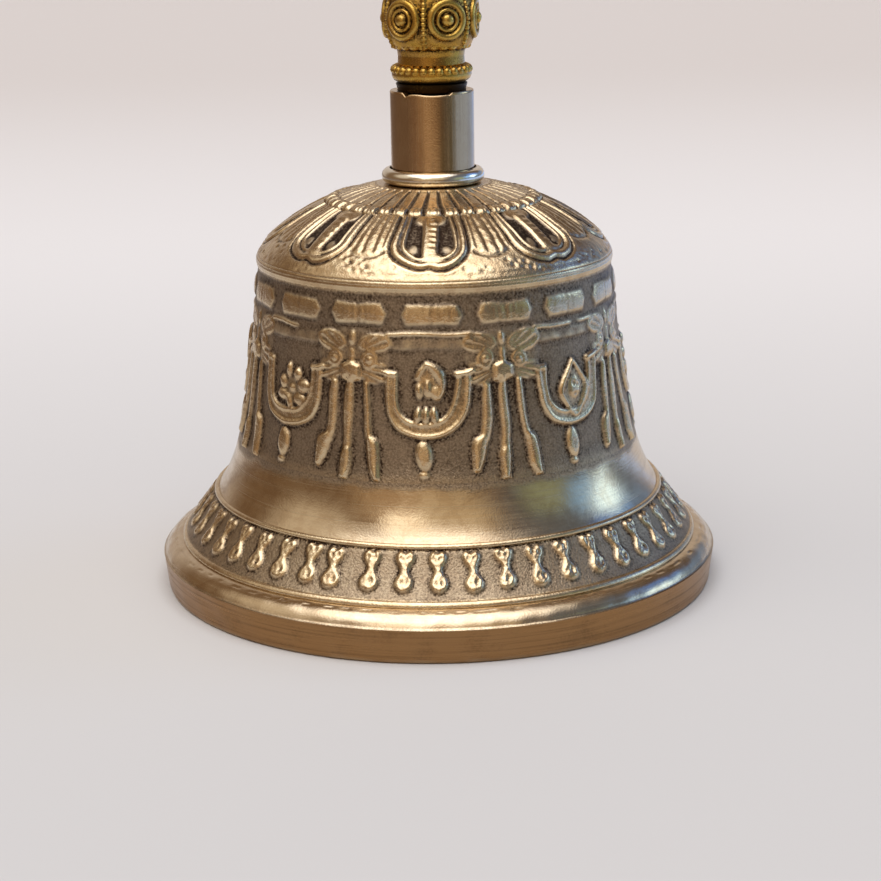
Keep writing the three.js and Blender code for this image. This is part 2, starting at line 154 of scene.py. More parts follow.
class BellColours(bpy.types.PropertyGroup):
    """Colours of the metals, as seen in even light."""

    bronze: colour_setting("Bronze", "Handled bell metal", "cbb595")
    bronze_cast: colour_setting("Cast bronze", "Bell metal of the relief, as cast", "cbb38e")
    bronze_ground: colour_setting("Ground", "Greyish matted ground between the relief", "917f6a")
    # Recess patina, whose dark also paints the shade in the recesses
    bronze_patina_and_shade: colour_setting("Recess patina", "Dark patina left in the recesses", "35281f")
    # Rubbed bronze, which also paints a highlight on the relief's edges
    bronze_rubbed_and_highlight: colour_setting("Rubbed bronze", "Bright metal on rubbed edges", "dcc9a6")
    bronze_polished: colour_setting("Polished bronze", "Pale bell metal of the collar", "e4d9c4")
    bronze_tanned: colour_setting("Tanned bronze", "Brown bell metal of the lip", "9a754d")
    tube: colour_setting("Tube", "Brushed bronze of the tube", "b89870")
    brass: colour_setting("Brass", "Yellow brass of the handle", "b88e3c")
    # Brass tarnish in the recesses, which also paints their shade
    brass_tarnish_and_shade: colour_setting("Brass recesses", "Brown tarnish in the brass", "2e2010")
    # Rubbed brass, which also paints a highlight on the relief's edges
    brass_rubbed_and_highlight: colour_setting("Rubbed brass", "Bright brass on rubbed edges", "d8b65e")
    iron: colour_setting("Iron", "Forged iron of the hanger and clapper", "5a534d")
    # Iron scale in the hollows, which also paints their shade
    iron_scale_and_shade: colour_setting("Iron scale", "Dark scale in the iron's hollows", "241d19")
    # Rubbed iron, which also paints a highlight on its edges
    iron_rubbed_and_highlight: colour_setting("Rubbed iron", "Bare iron on rubbed edges", "8b857d")
    pitch: colour_setting("Pitch", "Pitch that holds the handle", "120d0b")


class StudioSettings(bpy.types.PropertyGroup):
    """Camera, table and light. The room's and the floor's lights are as the bell mirrors them."""

    distance: FloatProperty(name="Distance", description="Camera in front of the bell's axis",
                            default=0.330, unit="LENGTH")
    aside: FloatProperty(name="Aside", description="Camera to the right of the bell's axis",
                         default=0.00053, unit="LENGTH", precision=5)
    height: FloatProperty(name="Height", description="Camera above the floor", default=0.1124, unit="LENGTH")
    pitch: FloatProperty(name="Pitch", description="Camera looks down by this", default=math.radians(15.38),
                         subtype="ANGLE")
    roll: FloatProperty(name="Roll", description="Camera leans by this", default=math.radians(0.87),
                        subtype="ANGLE")
    lens: FloatProperty(name="Lens", description="Focal length on a 36 mm sensor", default=85.69)
    # The table's colours paint its shade: darker in front of the bell and at the far end than behind it
    table_near: colour_setting("Table", "Pale table in front of the bell", "cfccc9")
    table_far: colour_setting("Table behind", "Pale table behind the bell", "e3dfdc")
    table_back: colour_setting("Table, far end", "Dimmer far end of the table", "d2cac4")
    ceiling: colour_setting("Ceiling", "Lit ceiling above the camera", (3.08, 3.14, 3.32))
    lamp: colour_setting("Lamp", "Lamp under the ceiling", (2.15, 2.05, 1.88))
    window: colour_setting("Window", "Blue daylight in the window at the right", (0.36, 0.74, 1.5))
    window_core: colour_setting("Window's middle", "Brightest part of the window", (1.6, 2.3, 3.1))
    # Painted light and shade of the floor beyond the lit table, which only the bell's metal mirrors
    floor_back: colour_setting("Floor, back", "Dim floor behind", (0.20, 0.15, 0.12))
    floor_left: colour_setting("Floor, left", "Dim floor at the left", (0.26, 0.16, 0.11))
    floor_front: colour_setting("Floor, front", "Lit floor in front", (0.75, 0.62, 0.48))
    floor_aside: colour_setting("Floor, aside", "Dark floor beside the lit part", (0.10, 0.09, 0.04))
    floor_right: colour_setting("Floor, right", "Daylit floor at the right", (0.47, 0.70, 1.2))
    room_left: colour_setting("Room, left", "Dim walls at the left", (0.23, 0.15, 0.09))
    room_front: colour_setting("Room, front", "Dim walls behind the camera", (0.23, 0.14, 0.07))
    room_right: colour_setting("Room, right", "Dim walls at the right", (0.15, 0.18, 0.24))
    room_back: colour_setting("Room, back", "Pale wall behind the bell", (0.62, 0.55, 0.5))


# Grid surfaces


def running_mean(field, count, axis, wraps):
    """The mean of each value and count neighbours on both sides, along one axis."""
    if count < 1:
        return field
    pad = [(0, 0)] * field.ndim
    pad[axis] = (count + 1, count)
    total = np.cumsum(np.pad(field, pad, mode="wrap" if wraps else "edge"), axis=axis)
    size = field.shape[axis]
    high = np.take(total, np.arange(2 * count + 1, 2 * count + 1 + size), axis=axis)
    low = np.take(total, np.arange(size), axis=axis)
    return (high - low) / (2 * count + 1)


def softened(field, rows, columns, wraps_rows=False):
    """A field on the grid, blurred twice along its rows and its closed columns."""
    for _ in range(2):
        field = running_mean(field, rows, 0, wraps_rows)
        field = running_mean(field, columns, 1, True)
    return field


def grid_normals(points, wraps_rows=False):
    """Unit normals of a grid of points: the cross product of its two central differences."""
    across = np.roll(points, -1, 1) - np.roll(points, 1, 1)
    if wraps_rows:
        along = np.roll(points, -1, 0) - np.roll(points, 1, 0)
    else:
        along = np.gradient(points, axis=0)
    normal = np.cross(across, along)
    return normal / np.maximum(np.linalg.norm(normal, axis=2, keepdims=True), 1e-12)


def hollowness(points, reach_mm, wraps_rows=False):
    """How far each point lies below the blurred surface, in millimetres: positive in hollows and
    negative on edges. It is the blurred position less the position, along the normal."""
    step_rows = np.linalg.norm(np.diff(points, axis=0), axis=2).mean()
    step_columns = np.linalg.norm(points - np.roll(points, 1, 1), axis=2).mean()
    rows = int(round(reach_mm / max(step_rows, 1e-6)))
    columns = int(round(reach_mm / max(step_columns, 1e-6)))
    blurred = softened(points, rows, columns, wraps_rows)
    normal = grid_normals(points, wraps_rows)
    return ((blurred - points) * normal).sum(axis=2)


def mesh_piece(name, points, quads, triangles, sharp, marks):
    """A mesh object from points in millimetres; faces are turned round if they enclose a negative
    volume, and each mark becomes a float attribute of its points."""
    corners = np.concatenate([quads[:, [0, 1, 2]], quads[:, [0, 2, 3]], triangles])
    a, b, c = (points[corners[:, i]] for i in range(3))
    if np.einsum("ij,ij->i", a, np.cross(b, c)).sum() < 0:
        quads = quads[:, ::-1]
        triangles = triangles[:, ::-1]
    mesh = bpy.data.meshes.new(name)
    mesh.vertices.add(len(points))
    mesh.vertices.foreach_set("co", (points * MM).astype(np.float32).ravel())
    corner_list = np.concatenate([quads.ravel(), triangles.ravel()]).astype(np.int32)
    starts = np.concatenate([
        np.arange(len(quads)) * 4,
        len(quads) * 4 + np.arange(len(triangles)) * 3,
    ]).astype(np.int32)
    mesh.loops.add(len(corner_list))
    mesh.loops.foreach_set("vertex_index", corner_list)
    mesh.polygons.add(len(starts))
    mesh.polygons.foreach_set("loop_start", starts)
    mesh.update(calc_edges=True)
    mesh.shade_smooth()
    mesh.set_sharp_from_angle(angle=math.radians(sharp))
    for key, values in marks.items():
        layer = mesh.attributes.new(key, "FLOAT", "POINT")
        layer.data.foreach_set("value", values.astype(np.float32).ravel())
    piece = bpy.data.objects.new(name, mesh)
    bpy.context.scene.collection.objects.link(piece)
    return piece


def grid_faces(rows, columns, ring):
    """Quads over a grid whose columns close round, and whose rows do too in a ring."""
    count = rows if ring else rows - 1
    row = np.arange(count)[:, None]
    column = np.arange(columns)[None, :]
    below = row * columns
    above = ((row + 1) % rows) * columns
    beside = (column + 1) % columns
    return np.stack([below + column, below + beside, above + beside, above + column], 2).reshape(-1, 4)


def closed_surface(name, points, ring=False, ends=(None, None), sharp=50, marks=None):
    """A closed mesh over a grid of points with closed columns. A ring joins its last row to its
    first. Otherwise each end row is closed by triangles to an end point, or to its own middle."""
    rows, columns = points.shape[:2]
    quads = grid_faces(rows, columns, ring)
    marks = marks or {}
    flat = points.reshape(-1, 3)
    lists = {key: values.ravel() for key, values in marks.items()}
    triangles = np.zeros((0, 3), dtype=int)
    if not ring:
        low = points[0].mean(axis=0) if ends[0] is None else np.array(ends[0])
        high = points[-1].mean(axis=0) if ends[1] is None else np.array(ends[1])
        column = np.arange(columns)
        beside = (column + 1) % columns
        last = (rows - 1) * columns
        foot = np.stack([np.full(columns, len(flat)), beside, column], 1)
        top = np.stack([last + column, last + beside, np.full(columns, len(flat) + 1)], 1)
        triangles = np.concatenate([foot, top])
        flat = np.concatenate([flat, [low], [high]])
        lists = {key: np.append(values, [values[0], values[-1]]) for key, values in lists.items()}
    return mesh_piece(name, flat, quads, triangles, sharp, lists)


def line_through(*parts):
    """One outline from several, each an array of radius and height, without doubled points."""
    line = np.concatenate([np.atleast_2d(np.asarray(part, dtype=float)) for part in parts])
    keep = np.append(True, np.linalg.norm(np.diff(line, axis=0), axis=1) > 1e-6)
    return line[keep]


def even(line, step):
    """An outline with its points spread evenly, about one step apart, and their run along it."""
    run = np.append(0, np.cumsum(np.linalg.norm(np.diff(line, axis=0), axis=1)))
    count = max(2, int(math.ceil(run[-1] / step)) + 1)
    place = np.linspace(0, run[-1], count)
    return np.stack([np.interp(place, run, line[:, i]) for i in (0, 1)], 1), place


def outward(line):
    """Unit normals to the right of an outline that is followed upwards."""
    along = np.gradient(line, axis=0)
    normal = np.stack([along[:, 1], -along[:, 0]], 1)
    return normal / np.linalg.norm(normal, axis=1, keepdims=True)


def wheel(radius, height, angle):
    """Points at a radius, height and angle, with angle 0 towards the camera and growing to its right."""
    radius, height, angle = np.broadcast_arrays(radius, height, angle)
    return np.stack([radius * np.sin(angle), -radius * np.cos(angle), height], 2)


def angles(columns):
    """The angles of a ring's columns, as one row."""
    return np.arange(columns)[None, :] * TURN / columns


def raised(front, rise, angle):
    """The points of an outline turned round the axis and moved out along its normal by rise."""
    normal = outward(front)
    return wheel(front[:, :1] + rise * normal[:, :1], front[:, 1:] + rise * normal[:, 1:], angle)


def surface_marks(points, fine, broad, ground=None, wraps_rows=False):
    """The marks that the metals read: hollow and edge from the shape, and ground where it is matted. The
    hollow mark places patina and painted shade, the edge mark rubbed wear and painted highlight.
    """
    return {
        "hollow": np.clip(hollowness(points, broad, wraps_rows) / HOLLOW_DEPTH, -1, 1),
        "edge": np.clip(-hollowness(points, fine, wraps_rows) / EDGE_HEIGHT, -1, 1),
        "ground": np.zeros(points.shape[:2]) if ground is None else ground,
    }


def carved_ring(name, line, back, relief, columns, step, matted=0.0, sink=0.0, fine=0.3, broad=0.5, sharp=75):
    """A closed ring. Its front is an outline turned round the axis, moved out along its normal by
    relief(angle, run, height), and its back is the plain outline behind, from top to bottom. A matted
    ring's ground, which lies sink below the outline, is marked for the metal's colour and grain. matted
    is the mark's strength, or a function of angle and height that gives it."""
    front, run = even(line, step)
    angle = angles(columns)
    level = front[:, 1:]
    rise = relief(angle, run[:, None], level) + np.zeros((len(front), columns))
    points = raised(front, rise, angle)
    if callable(matted):
        matted = matted(angle, level)
    ground = matted * (1 - step_up(0.08, 0.3, rise + sink))
    marks = surface_marks(points, fine, broad, ground)
    behind = wheel(back[:, :1], back[:, 1:], angle)
    marks = {key: np.concatenate([v, np.zeros(behind.shape[:2])]) for key, v in marks.items()}
    return closed_surface(name, np.concatenate([points, behind]), ring=True, sharp=sharp, marks=marks)


def turned(name, line, columns=96, step=0.3, ends=(None, None), shape=None, sharp=40, fine=0.3, broad=0.7,
           pitch_and_shade_below=0.0):
    """A solid of revolution from an outline that starts and ends beside the axis. shape(angle,
    height), if given, is added along the outline's normal. Below the height in its last argument, in
    millimetres,
    it is blackened: pitch smeared on it, and painted shade under what stands over it."""
    front, _ = even(line, step)
    angle = angles(columns)
    rise = np.zeros((len(front), columns)) if shape is None else shape(angle, front[:, 1:])
    points = raised(front, rise, angle)
    marks = surface_marks(points, fine, broad)
    # Blackened below that height: pitch smeared on the metal, and painted shade under the part above it
    black = step_up(pitch_and_shade_below + 0.35, pitch_and_shade_below - 0.35, points[:, :, 2])
    marks["hollow"] = np.maximum(marks["hollow"], 2.5 * black)
    marks["edge"] = marks["edge"] * (1 - black)
    return closed_surface(name, points, ends=ends, sharp=sharp, marks=marks)


def placed(piece, material, body, slot, *nodes):
    """Gives a piece its material and the body that it rides on, and hides the CAD nodes that it stands for.
    Its slot is not used.
    """
    piece.data.materials.append(material)
    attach(piece, body)
    if nodes:
        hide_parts(*nodes)
    return piece


# Outlines


def wall_radius(height):
    """Radius of the plain wall: a straight taper plus a flare that fades by e in each flare length."""
    straight = SHOULDER[0] + WALL_TAPER * (SHOULDER[1] - height)
    foot = SHOULDER[0] + WALL_TAPER * (SHOULDER[1] - FRIEZE_TOP[1])
    return straight + (FRIEZE_TOP[0] - foot) * np.exp((FRIEZE_TOP[1] - height) / FLARE_LENGTH)


def wall_line(bottom, top, thickness=0.0):
    """The wall's outline between two heights, moved inwards by a thickness along its normal."""
    height = np.linspace(bottom, top, 80)
    line = np.stack([wall_radius(height), height], 1)
    return line - thickness * outward(line) * np.array([1, 0]) / np.maximum(outward(line)[:, :1] ** 2, 0.1)


def dome_line(radius, flat, bottom, top, count=200):
    """A quarter of a superellipse from the shoulder to the flat of the crown."""
    turn = np.linspace(0, math.pi / 2, count)
    across = np.cos(turn) ** (2 / DOME_POWER)
    up = np.sin(turn) ** (2 / DOME_POWER)
    return np.stack([flat + (radius - flat) * across, bottom + (top - bottom) * up], 1)


def ridge_line(start, end, rise, count=14):
    """A half round ridge from one outline point to the next, standing out to the right."""
    start, end = np.asarray(start, dtype=float), np.asarray(end, dtype=float)
    along = end - start
    side = np.array([along[1], -along[0]]) / np.linalg.norm(along)
    turn = np.linspace(0, math.pi, count)[:, None]
    return start + along * (1 - np.cos(turn)) / 2 + side * rise * np.sin(turn)


def bow_line(start, end, aside, count=24):
    """A shallow parabola between two outline points, standing out to the right by aside."""
    start, end = np.asarray(start, dtype=float), np.asarray(end, dtype=float)
    along = end - start
    side = np.array([along[1], -along[0]]) / np.linalg.norm(along)
    share = np.linspace(0, 1, count)[:, None]
    return start + along * share + side * aside * 4 * share * (1 - share)


def smooth_line(points, count=24):
    """A smooth outline through a few chosen points: a Catmull-Rom curve."""
    points = np.asarray(points, dtype=float)
    padded = np.concatenate([[2 * points[0] - points[1]], points, [2 * points[-1] - points[-2]]])
    share = np.linspace(0, len(points) - 1, count * (len(points) - 1) + 1)
    index = np.minimum(share.astype(int), len(points) - 2)
    t = (share - index)[:, None]
    p0, p1, p2, p3 = (padded[index + i] for i in range(4))
    return 0.5 * (2 * p1 + (p2 - p0) * t + (2 * p0 - 5 * p1 + 4 * p2 - p3) * t ** 2
                  + (3 * p1 - p0 - 3 * p2 + p3) * t ** 3)


# Relief, in millimetres above the ground


def wander(angle, across, length, seed, around=GARLAND_RADIUS, terms=8):
    """Smooth random waves from about -1 to 1 that close round the bell: a sum of sine waves whose
    lengths lie near the given length."""
    random = np.random.default_rng(seed)
    total = 0.0
    for _ in range(terms):
        turns = round(TURN * around / length * random.uniform(-1.2, 1.2))
        rate = TURN / length * random.uniform(-1.2, 1.2)
        total = total + np.sin(turns * angle + rate * across + random.uniform(0, TURN))
    return total / math.sqrt(terms / 2) / 1.5


def step_up(low, high, value):
    """0 below low, 1 above high, and smooth between."""
    share = np.clip((value - low) / (high - low), 0, 1)
    return share * share * (3 - 2 * share)


def hump(value, middle, width):
    """A smooth hump, 1 high in the middle and about a third as high a width away from it."""
    return np.exp(-((value - middle) / width) ** 2)


def plateau(depth, edge):
    """0 outside an outline and 1 well inside it: a quarter round side as wide as edge, then a flat top.
    depth is the distance inside the outline."""
    share = np.clip(depth / edge, 0, 1)
    return np.sqrt(share * (2 - share))


def oval(x, y, centre, radii, rise, turn=0.0, flat=0.75):
    """A raised oval with a slightly domed top. flat is the share of its half width that its rounded
    side takes: 1 makes half an ellipsoid."""
    dx, dy = x - centre[0], y - centre[1]
    if turn:
        cosine, sine = math.cos(turn), math.sin(turn)
        dx, dy = dx * cosine + dy * sine, dy * cosine - dx * sine
    away = np.hypot(dx / radii[0], dy / radii[1])
    return rise * plateau(1 - away, flat) * (1 - 0.2 * np.minimum(away, 1) ** 2)


def cord(x, y, points, widths, rise, smooth=6, flat=0.85):
    """A raised cord along a smooth path, whose half widths change along it: a quarter round side and
    a slightly domed top, as in an oval."""
    path = np.column_stack([points, widths])
    path = smooth_line(path, smooth) if smooth else path
    nearest = np.full(np.broadcast(x, y).shape, 9.0)
    for start, end in zip(path[:-1], path[1:]):
        ax, ay, width = start
        bx, by, next_width = end
        length = max((bx - ax) ** 2 + (by - ay) ** 2, 1e-9)
        share = np.clip(((x - ax) * (bx - ax) + (y - ay) * (by - ay)) / length, 0, 1)
        away = np.hypot(x - ax - share * (bx - ax), y - ay - share * (by - ay))
        nearest = np.minimum(nearest, away / (width + share * (next_width - width)))
    return rise * plateau(1 - nearest, flat) * (1 - 0.2 * np.minimum(nearest, 1) ** 2)


def most(*fields):
    """The highest of several reliefs."""
    total = fields[0]
    for field in fields[1:]:
        total = np.maximum(total, field)
    return total


def cast_skin(angle, across, seed, around=GARLAND_RADIUS):
    """The fine lumps that the mould leaves on relief, from about -1 to 1."""
    return 0.6 * wander(angle, across, 1.0, seed, around) + 0.5 * wander(angle, across, 0.6, seed + 1, around)


def nearest_copy(angle, count, turn=0.0):
    """The angle from the middle of the nearest of count equal sectors, and the sector's number."""
    sector = TURN / count
    number = np.round((angle - turn) / sector)
    return angle - turn - number * sector, np.mod(number, count)


VAJRA_LEVELS = [-3.6, -3.4, -3.15, -2.8, -2.2, -1.6, -1.0, -0.4, 0.3, 1.0, 1.6, 2.2, 2.8, 3.5]
VAJRA_WIDTHS = [-0.5, 0.3, 0.85, 1.18, 1.38, 1.34, 1.05, 0.7, 0.64, 0.92, 1.27, 1.4, 1.4, 1.0]


def vajra(x, y, number, rise):
    """A small upright vajra, cast nearly flat: a crown of closed prongs with two ears, a thick waist and
    a round lobe with a slot beside its rib. x and y are measured from its waist. The slots and the
    lobe's side lean over from one copy to the next."""
    lean = 0.22 * np.sin(number * 2.7)
    width = np.interp(y, VAJRA_LEVELS, VAJRA_WIDTHS)
    ears = 2.75 + 0.5 * hump(abs(x), 0.72, 0.3)
    depth = np.minimum(width - abs(x - 0.2 * lean), ears - y)
    body = plateau(depth, 0.38)
    slots = most(
        oval(abs(x - lean), y, (0.52, 2.0), (0.2, 0.48), 1.0, flat=1),
        oval(x - lean, y, (0.4, -1.9), (0.22, 0.7), 1.0, flat=1),
        oval(x - lean, y, (-0.62, -2.0), (0.15, 0.55), 0.7, flat=1),
    )
    return rise * body * (1 - 0.75 * slots)


def bar(x, y, rise):
    """A lying vajra bar: a long hexagon with a low roof, cut across at its waist and finely ribbed."""
    half = abs(x)
    depth = np.minimum(1.68 - abs(y), (4.8 - half - 0.5 * abs(y)) * 0.8)
    body = plateau(depth, 0.8) * (1 - 0.15 * abs(y))
    cuts = 0.3 * hump(x, 0, 0.25) + 0.16 * hump(half, 1.15, 0.16)
    ribs = 0.09 * np.sin(half * 8.5) * step_up(1.3, 1.8, half)
    return rise * body * (1 - cuts + ribs)


def mask(x, y, rise):
    """A leonine mask over the tassels: a blunt nose, ringed eyes, two leafy brows with combed insides
    and a bud between them, and combed cheeks. x is measured from its middle and y from the nose's tip."""
    x = x + 0.3
    half = abs(x)
    fan = np.arctan2(y - 3.2, half - 0.2)
    comb = np.arctan2(y - 1.9, half + 1.0)
    leaf = np.hypot((half - 3.55) / 2.85, (y - 5.0 - 0.1 * (half - 3.5)) / 1.6)
    brows = plateau(1 - leaf, 0.3) * (
        0.46 + 0.12 * hump(leaf, 0.82, 0.12) + 0.12 * np.cos(fan * 26) * step_up(0.85, 0.7, leaf))
    cheek = np.hypot((half - 3.7) / 2.7, (y - 0.6) / 1.8)
    cheeks = plateau(1 - cheek, 0.4) * (0.42 + 0.16 * np.cos(comb * 34))
    away = np.hypot(half - 2.75, y - 2.5)
    eyes = plateau(1 - away / 1.2, 0.25) * (0.85 - 0.5 * hump(away, 0.68, 0.17))
    plate = 0.3 * oval(x, y, (0, 3.1), (6.2, 4.0), 1.0, flat=0.25)
    blunt = np.minimum(1.5 - half, np.minimum(2.2 - y - 0.4 * half, y + 0.9 - 0.25 * half))
    nose = 1.15 * plateau(blunt, 0.55) - 0.6 * oval(half, y, (0.55, -0.25), (0.3, 0.26), 1.0)
    bridge = cord(x, y, [(0, 2.0), (0, 3.8)], [0.4, 0.34], 0.75, smooth=0)
    bud = oval(x, y, (0.0, 5.5), (0.5, 1.25), 0.8)
    return rise * most(plate, cheeks, brows, eyes, bridge, bud, nose)


def tassels(x, y, rise):
    """Three flat strands that hang from the mask, each with a blunt drop on its end. y is the height
    above the mouth."""
    strands = (
        ([(-2.9, 38.0), (-3.1, 36.0), (-3.2, 33.0), (-3.4, 31.0), (-4.1, 29.0)],
         [0.7, 0.85, 0.8, 0.75, 0.9]),
        ([(-0.4, 38.2), (-0.5, 36.5), (-0.55, 33.0), (-0.65, 30.0), (-0.7, 28.0)],
         [0.6, 0.75, 0.85, 0.68, 0.8]),
        ([(2.0, 38.2), (2.1, 36.5), (2.3, 34.0), (2.65, 31.0), (3.3, 29.0)],
         [0.45, 0.52, 0.55, 0.6, 0.8]),
    )
    drops = (
        ([(-3.75, 30.3), (-4.45, 29.0), (-4.75, 27.2), (-5.05, 25.7)], [0.45, 1.2, 1.05, 0.62]),
        ([(-0.55, 28.5), (-0.7, 27.6), (-0.65, 25.8), (-0.75, 24.3)], [0.4, 0.88, 0.85, 0.6]),
        ([(2.9, 30.2), (3.4, 29.2), (3.6, 27.6), (3.75, 25.8), (4.1, 24.3)], [0.4, 0.98, 1.05, 0.92, 0.5]),
    )
    total = 0.0
    for path, widths in strands:
        total = np.maximum(total, cord(x, y, path, widths, rise * 0.85, flat=0.8))
    for path, widths in drops:
        total = np.maximum(total, cord(x, y, path, widths, rise * 1.2, flat=0.75))
    return total


def loop_cords(x, y, rise):
    """The broad band that hangs in a loop between two masks, with a cord along both its edges, and the
    drop under it. y is the height above the mouth."""
    outer = [(-6.1, 39.8), (-6.0, 36.5), (-5.6, 33.8), (-4.2, 31.8), (-2.0, 30.9), (0.2, 30.7),
             (2.4, 31.1), (4.3, 32.4), (5.3, 34.4), (5.6, 37.0), (5.65, 39.8)]
    inner = [(-5.0, 39.6), (-4.95, 36.6), (-4.5, 34.5), (-3.2, 33.1), (-1.2, 32.5), (1.0, 32.6),
             (2.7, 33.6), (3.7, 35.4), (4.1, 37.5), (4.2, 39.7)]
    between = [(-5.5, 39.4), (-5.45, 36.5), (-5.0, 34.1), (-3.7, 32.4), (-1.6, 31.7), (0.5, 31.6),
               (2.6, 32.3), (4.1, 33.8), (4.8, 36.2), (4.95, 39.5)]
    drop = oval(x, y, (-0.75, 27.8), (1.25, 2.35), rise * 1.2)
    hollow = oval(x, y, (-0.75, 27.9), (0.7, 1.5), rise * 0.22, flat=0.9)
    return most(
        cord(x, y, outer, [0.48] * 11, rise * 0.95),
        cord(x, y, inner, [0.36] * 10, rise * 0.85),
        cord(x, y, between, [0.85] * 10, rise * 0.55, flat=0.3),
        cord(x, y, [(3.9, 39.75), (5.3, 39.95), (6.5, 40.3)], [0.42, 0.4, 0.25], rise * 1.1),
        cord(x, y, [(-6.7, 39.9), (-5.0, 39.75)], [0.3, 0.34], rise, smooth=0),
        drop - hollow,
        oval(x, y, (-0.9, 25.1), (0.75, 0.5), rise * 0.6),
    )


def bud_emblem(x, y, rise):
    """A bud in the loop: a pointed hood that curls down at the right over three upright knobs, with
    three more knobs below."""
    hood = most(
        cord(x, y, [(-0.3, 41.4), (0.5, 40.9), (1.4, 39.9), (1.95, 38.5), (2.0, 37.3), (1.6, 36.2)],
             [0.25, 0.55, 0.75, 0.6, 0.42, 0.3], rise * 1.1),
        cord(x, y, [(-0.3, 41.3), (-1.1, 40.3), (-1.7, 39.2)], [0.25, 0.4, 0.35], rise * 0.9),
    )
    knobs = most(
        oval(x, y, (-1.45, 37.3), (0.6, 1.35), rise, turn=0.06),
        oval(x, y, (-0.1, 37.7), (0.66, 1.6), rise * 1.1),
        oval(x, y, (1.1, 37.0), (0.78, 1.3), rise),
        oval(x, y, (-1.6, 33.7), (0.55, 1.35), rise * 1.05, turn=-0.1),
        oval(x, y, (-0.45, 33.6), (0.55, 1.45), rise * 1.1),
        oval(x, y, (0.75, 33.6), (0.62, 1.45), rise * 1.05, turn=0.1),
    )
    return most(hood, knobs, oval(x, y, (0.2, 38.7), (1.9, 2.7), rise * 0.5, flat=0.35))


def flower_emblem(x, y, rise):
    """A blossom in the loop: full petals of uneven size round a boss, and two narrow ones above."""
    petals = (
        ((-1.75, 36.7), (0.85, 1.05), 0.5), ((2.5, 36.6), (1.25, 1.05), -0.3),
        ((-1.75, 34.8), (1.3, 0.95), -0.2), ((-0.15, 33.8), (0.62, 1.4), 0.35),
        ((1.9, 34.4), (1.25, 1.0), 0.1), ((-0.55, 38.7), (0.52, 1.1), 0.0),
        ((1.15, 38.3), (0.75, 0.95), 0.2),
    )
    total = most(oval(x, y, (0.3, 36.1), (0.65, 0.6), rise * 0.9),
                 oval(x, y, (0.2, 36.0), (3.1, 3.0), rise * 0.35))
    for centre, radii, turn in petals:
        total = np.maximum(total, oval(x, y, centre, radii, rise, turn=turn, flat=0.5))
    return total


def almond_emblem(x, y, rise):
    """A jewel in the loop: an almond rim with a point above and below round a rough middle."""
    rim = cord(x, y, [(0.7, 39.9), (-0.3, 38.6), (-1.7, 36.9), (-2.1, 35.4), (-1.1, 33.6), (0.5, 31.6),
                      (1.9, 33.4), (3.0, 35.2), (2.9, 36.6), (1.8, 38.3), (0.7, 39.9)],
               [0.3, 0.42, 0.5, 0.5, 0.42, 0.35, 0.42, 0.55, 0.5, 0.4, 0.3], rise)
    middle = oval(x, y, (0.5, 35.8), (1.3, 1.7), rise * 0.9, flat=0.5)
    pits = most(oval(x, y, (0.2, 36.4), (0.35, 0.45), 1.0), oval(x, y, (1.0, 36.0), (0.3, 0.4), 1.0),
                oval(x, y, (0.5, 34.9), (0.3, 0.3), 1.0))
    face = oval(x, y, (0.5, 35.7), (2.6, 3.2), rise * 0.4, flat=0.3)
    return most(rim, middle * (1 - 0.6 * pits), face)


EMBLEMS = (bud_emblem, almond_emblem, flower_emblem)
EMBLEM_ORDER = np.array([0, 1, 2, 0, 1, 2, 0, 2])  # by loop, from the front to the right


def strings(angle, height):
    """The fine cord over the garland, worn through in places, and the low band under it."""
    worn = step_up(-0.9, -0.4, wander(angle, 0, 8.0, 16))
    cord_height = 0.6 * plateau(0.3 - abs(height - 45.65), 0.3) * worn
    band = (0.26 + 0.05 * wander(angle, height, 3.0, 15)) * plateau(1.0 - abs(height - 44.3), 0.7)
    return np.maximum(cord_height, band)


def garland(angle, height):
    """The whole garland over the wall: masks and tassels, loops with emblems and drops, and the
    strings above. Slow random waves shift each copy a little, as hand-cut wax models differ."""
    loops = bpy.context.scene.bell_sizes.loops
    shift_x = 0.16 * wander(angle, height, 9.0, 11)
    level = height + 0.16 * wander(angle, height, 9.0, 12)
    local, number = nearest_copy(angle, loops, GARLAND_TURN)
    x = local * GARLAND_RADIUS + shift_x
    total = loop_cords(x, level, GARLAND_RISE)
    kinds = EMBLEM_ORDER[number.astype(int) % len(EMBLEM_ORDER)]
    for kind, emblem in enumerate(EMBLEMS):
        total = np.where(kinds == kind, np.maximum(total, emblem(x, level, GARLAND_RISE)), total)
    local, _ = nearest_copy(angle, loops, GARLAND_TURN + math.pi / loops)
    x = local * GARLAND_RADIUS + shift_x
    total = most(total, tassels(x, level, GARLAND_RISE), mask(x, level - 39.2, GARLAND_RISE),
                 GARLAND_RISE * strings(angle, level) * step_up(4.6, 5.2, abs(x)))
    return total + 0.035 * cast_skin(angle, height, 17) * (0.25 + 0.75 * step_up(0.05, 0.3, total))


def petal_depth(x, y):
    """How far a point lies inside a large petal's outline, in millimetres. The outline runs straight
    up both sides, turns in a wide arc at the foot, and has a cleft there in the middle."""
    half, radius, foot = 6.0, 5.2, 2.0
    bend = foot + radius
    arc = radius - np.hypot(np.maximum(x - half + radius, 0), y - bend)
    cleft = 0.5 * np.clip(1 - x / 1.6, 0, 1) ** 1.5 * step_up(foot + 3, foot, y)
    return np.where(y > bend, half - x, arc) - cleft


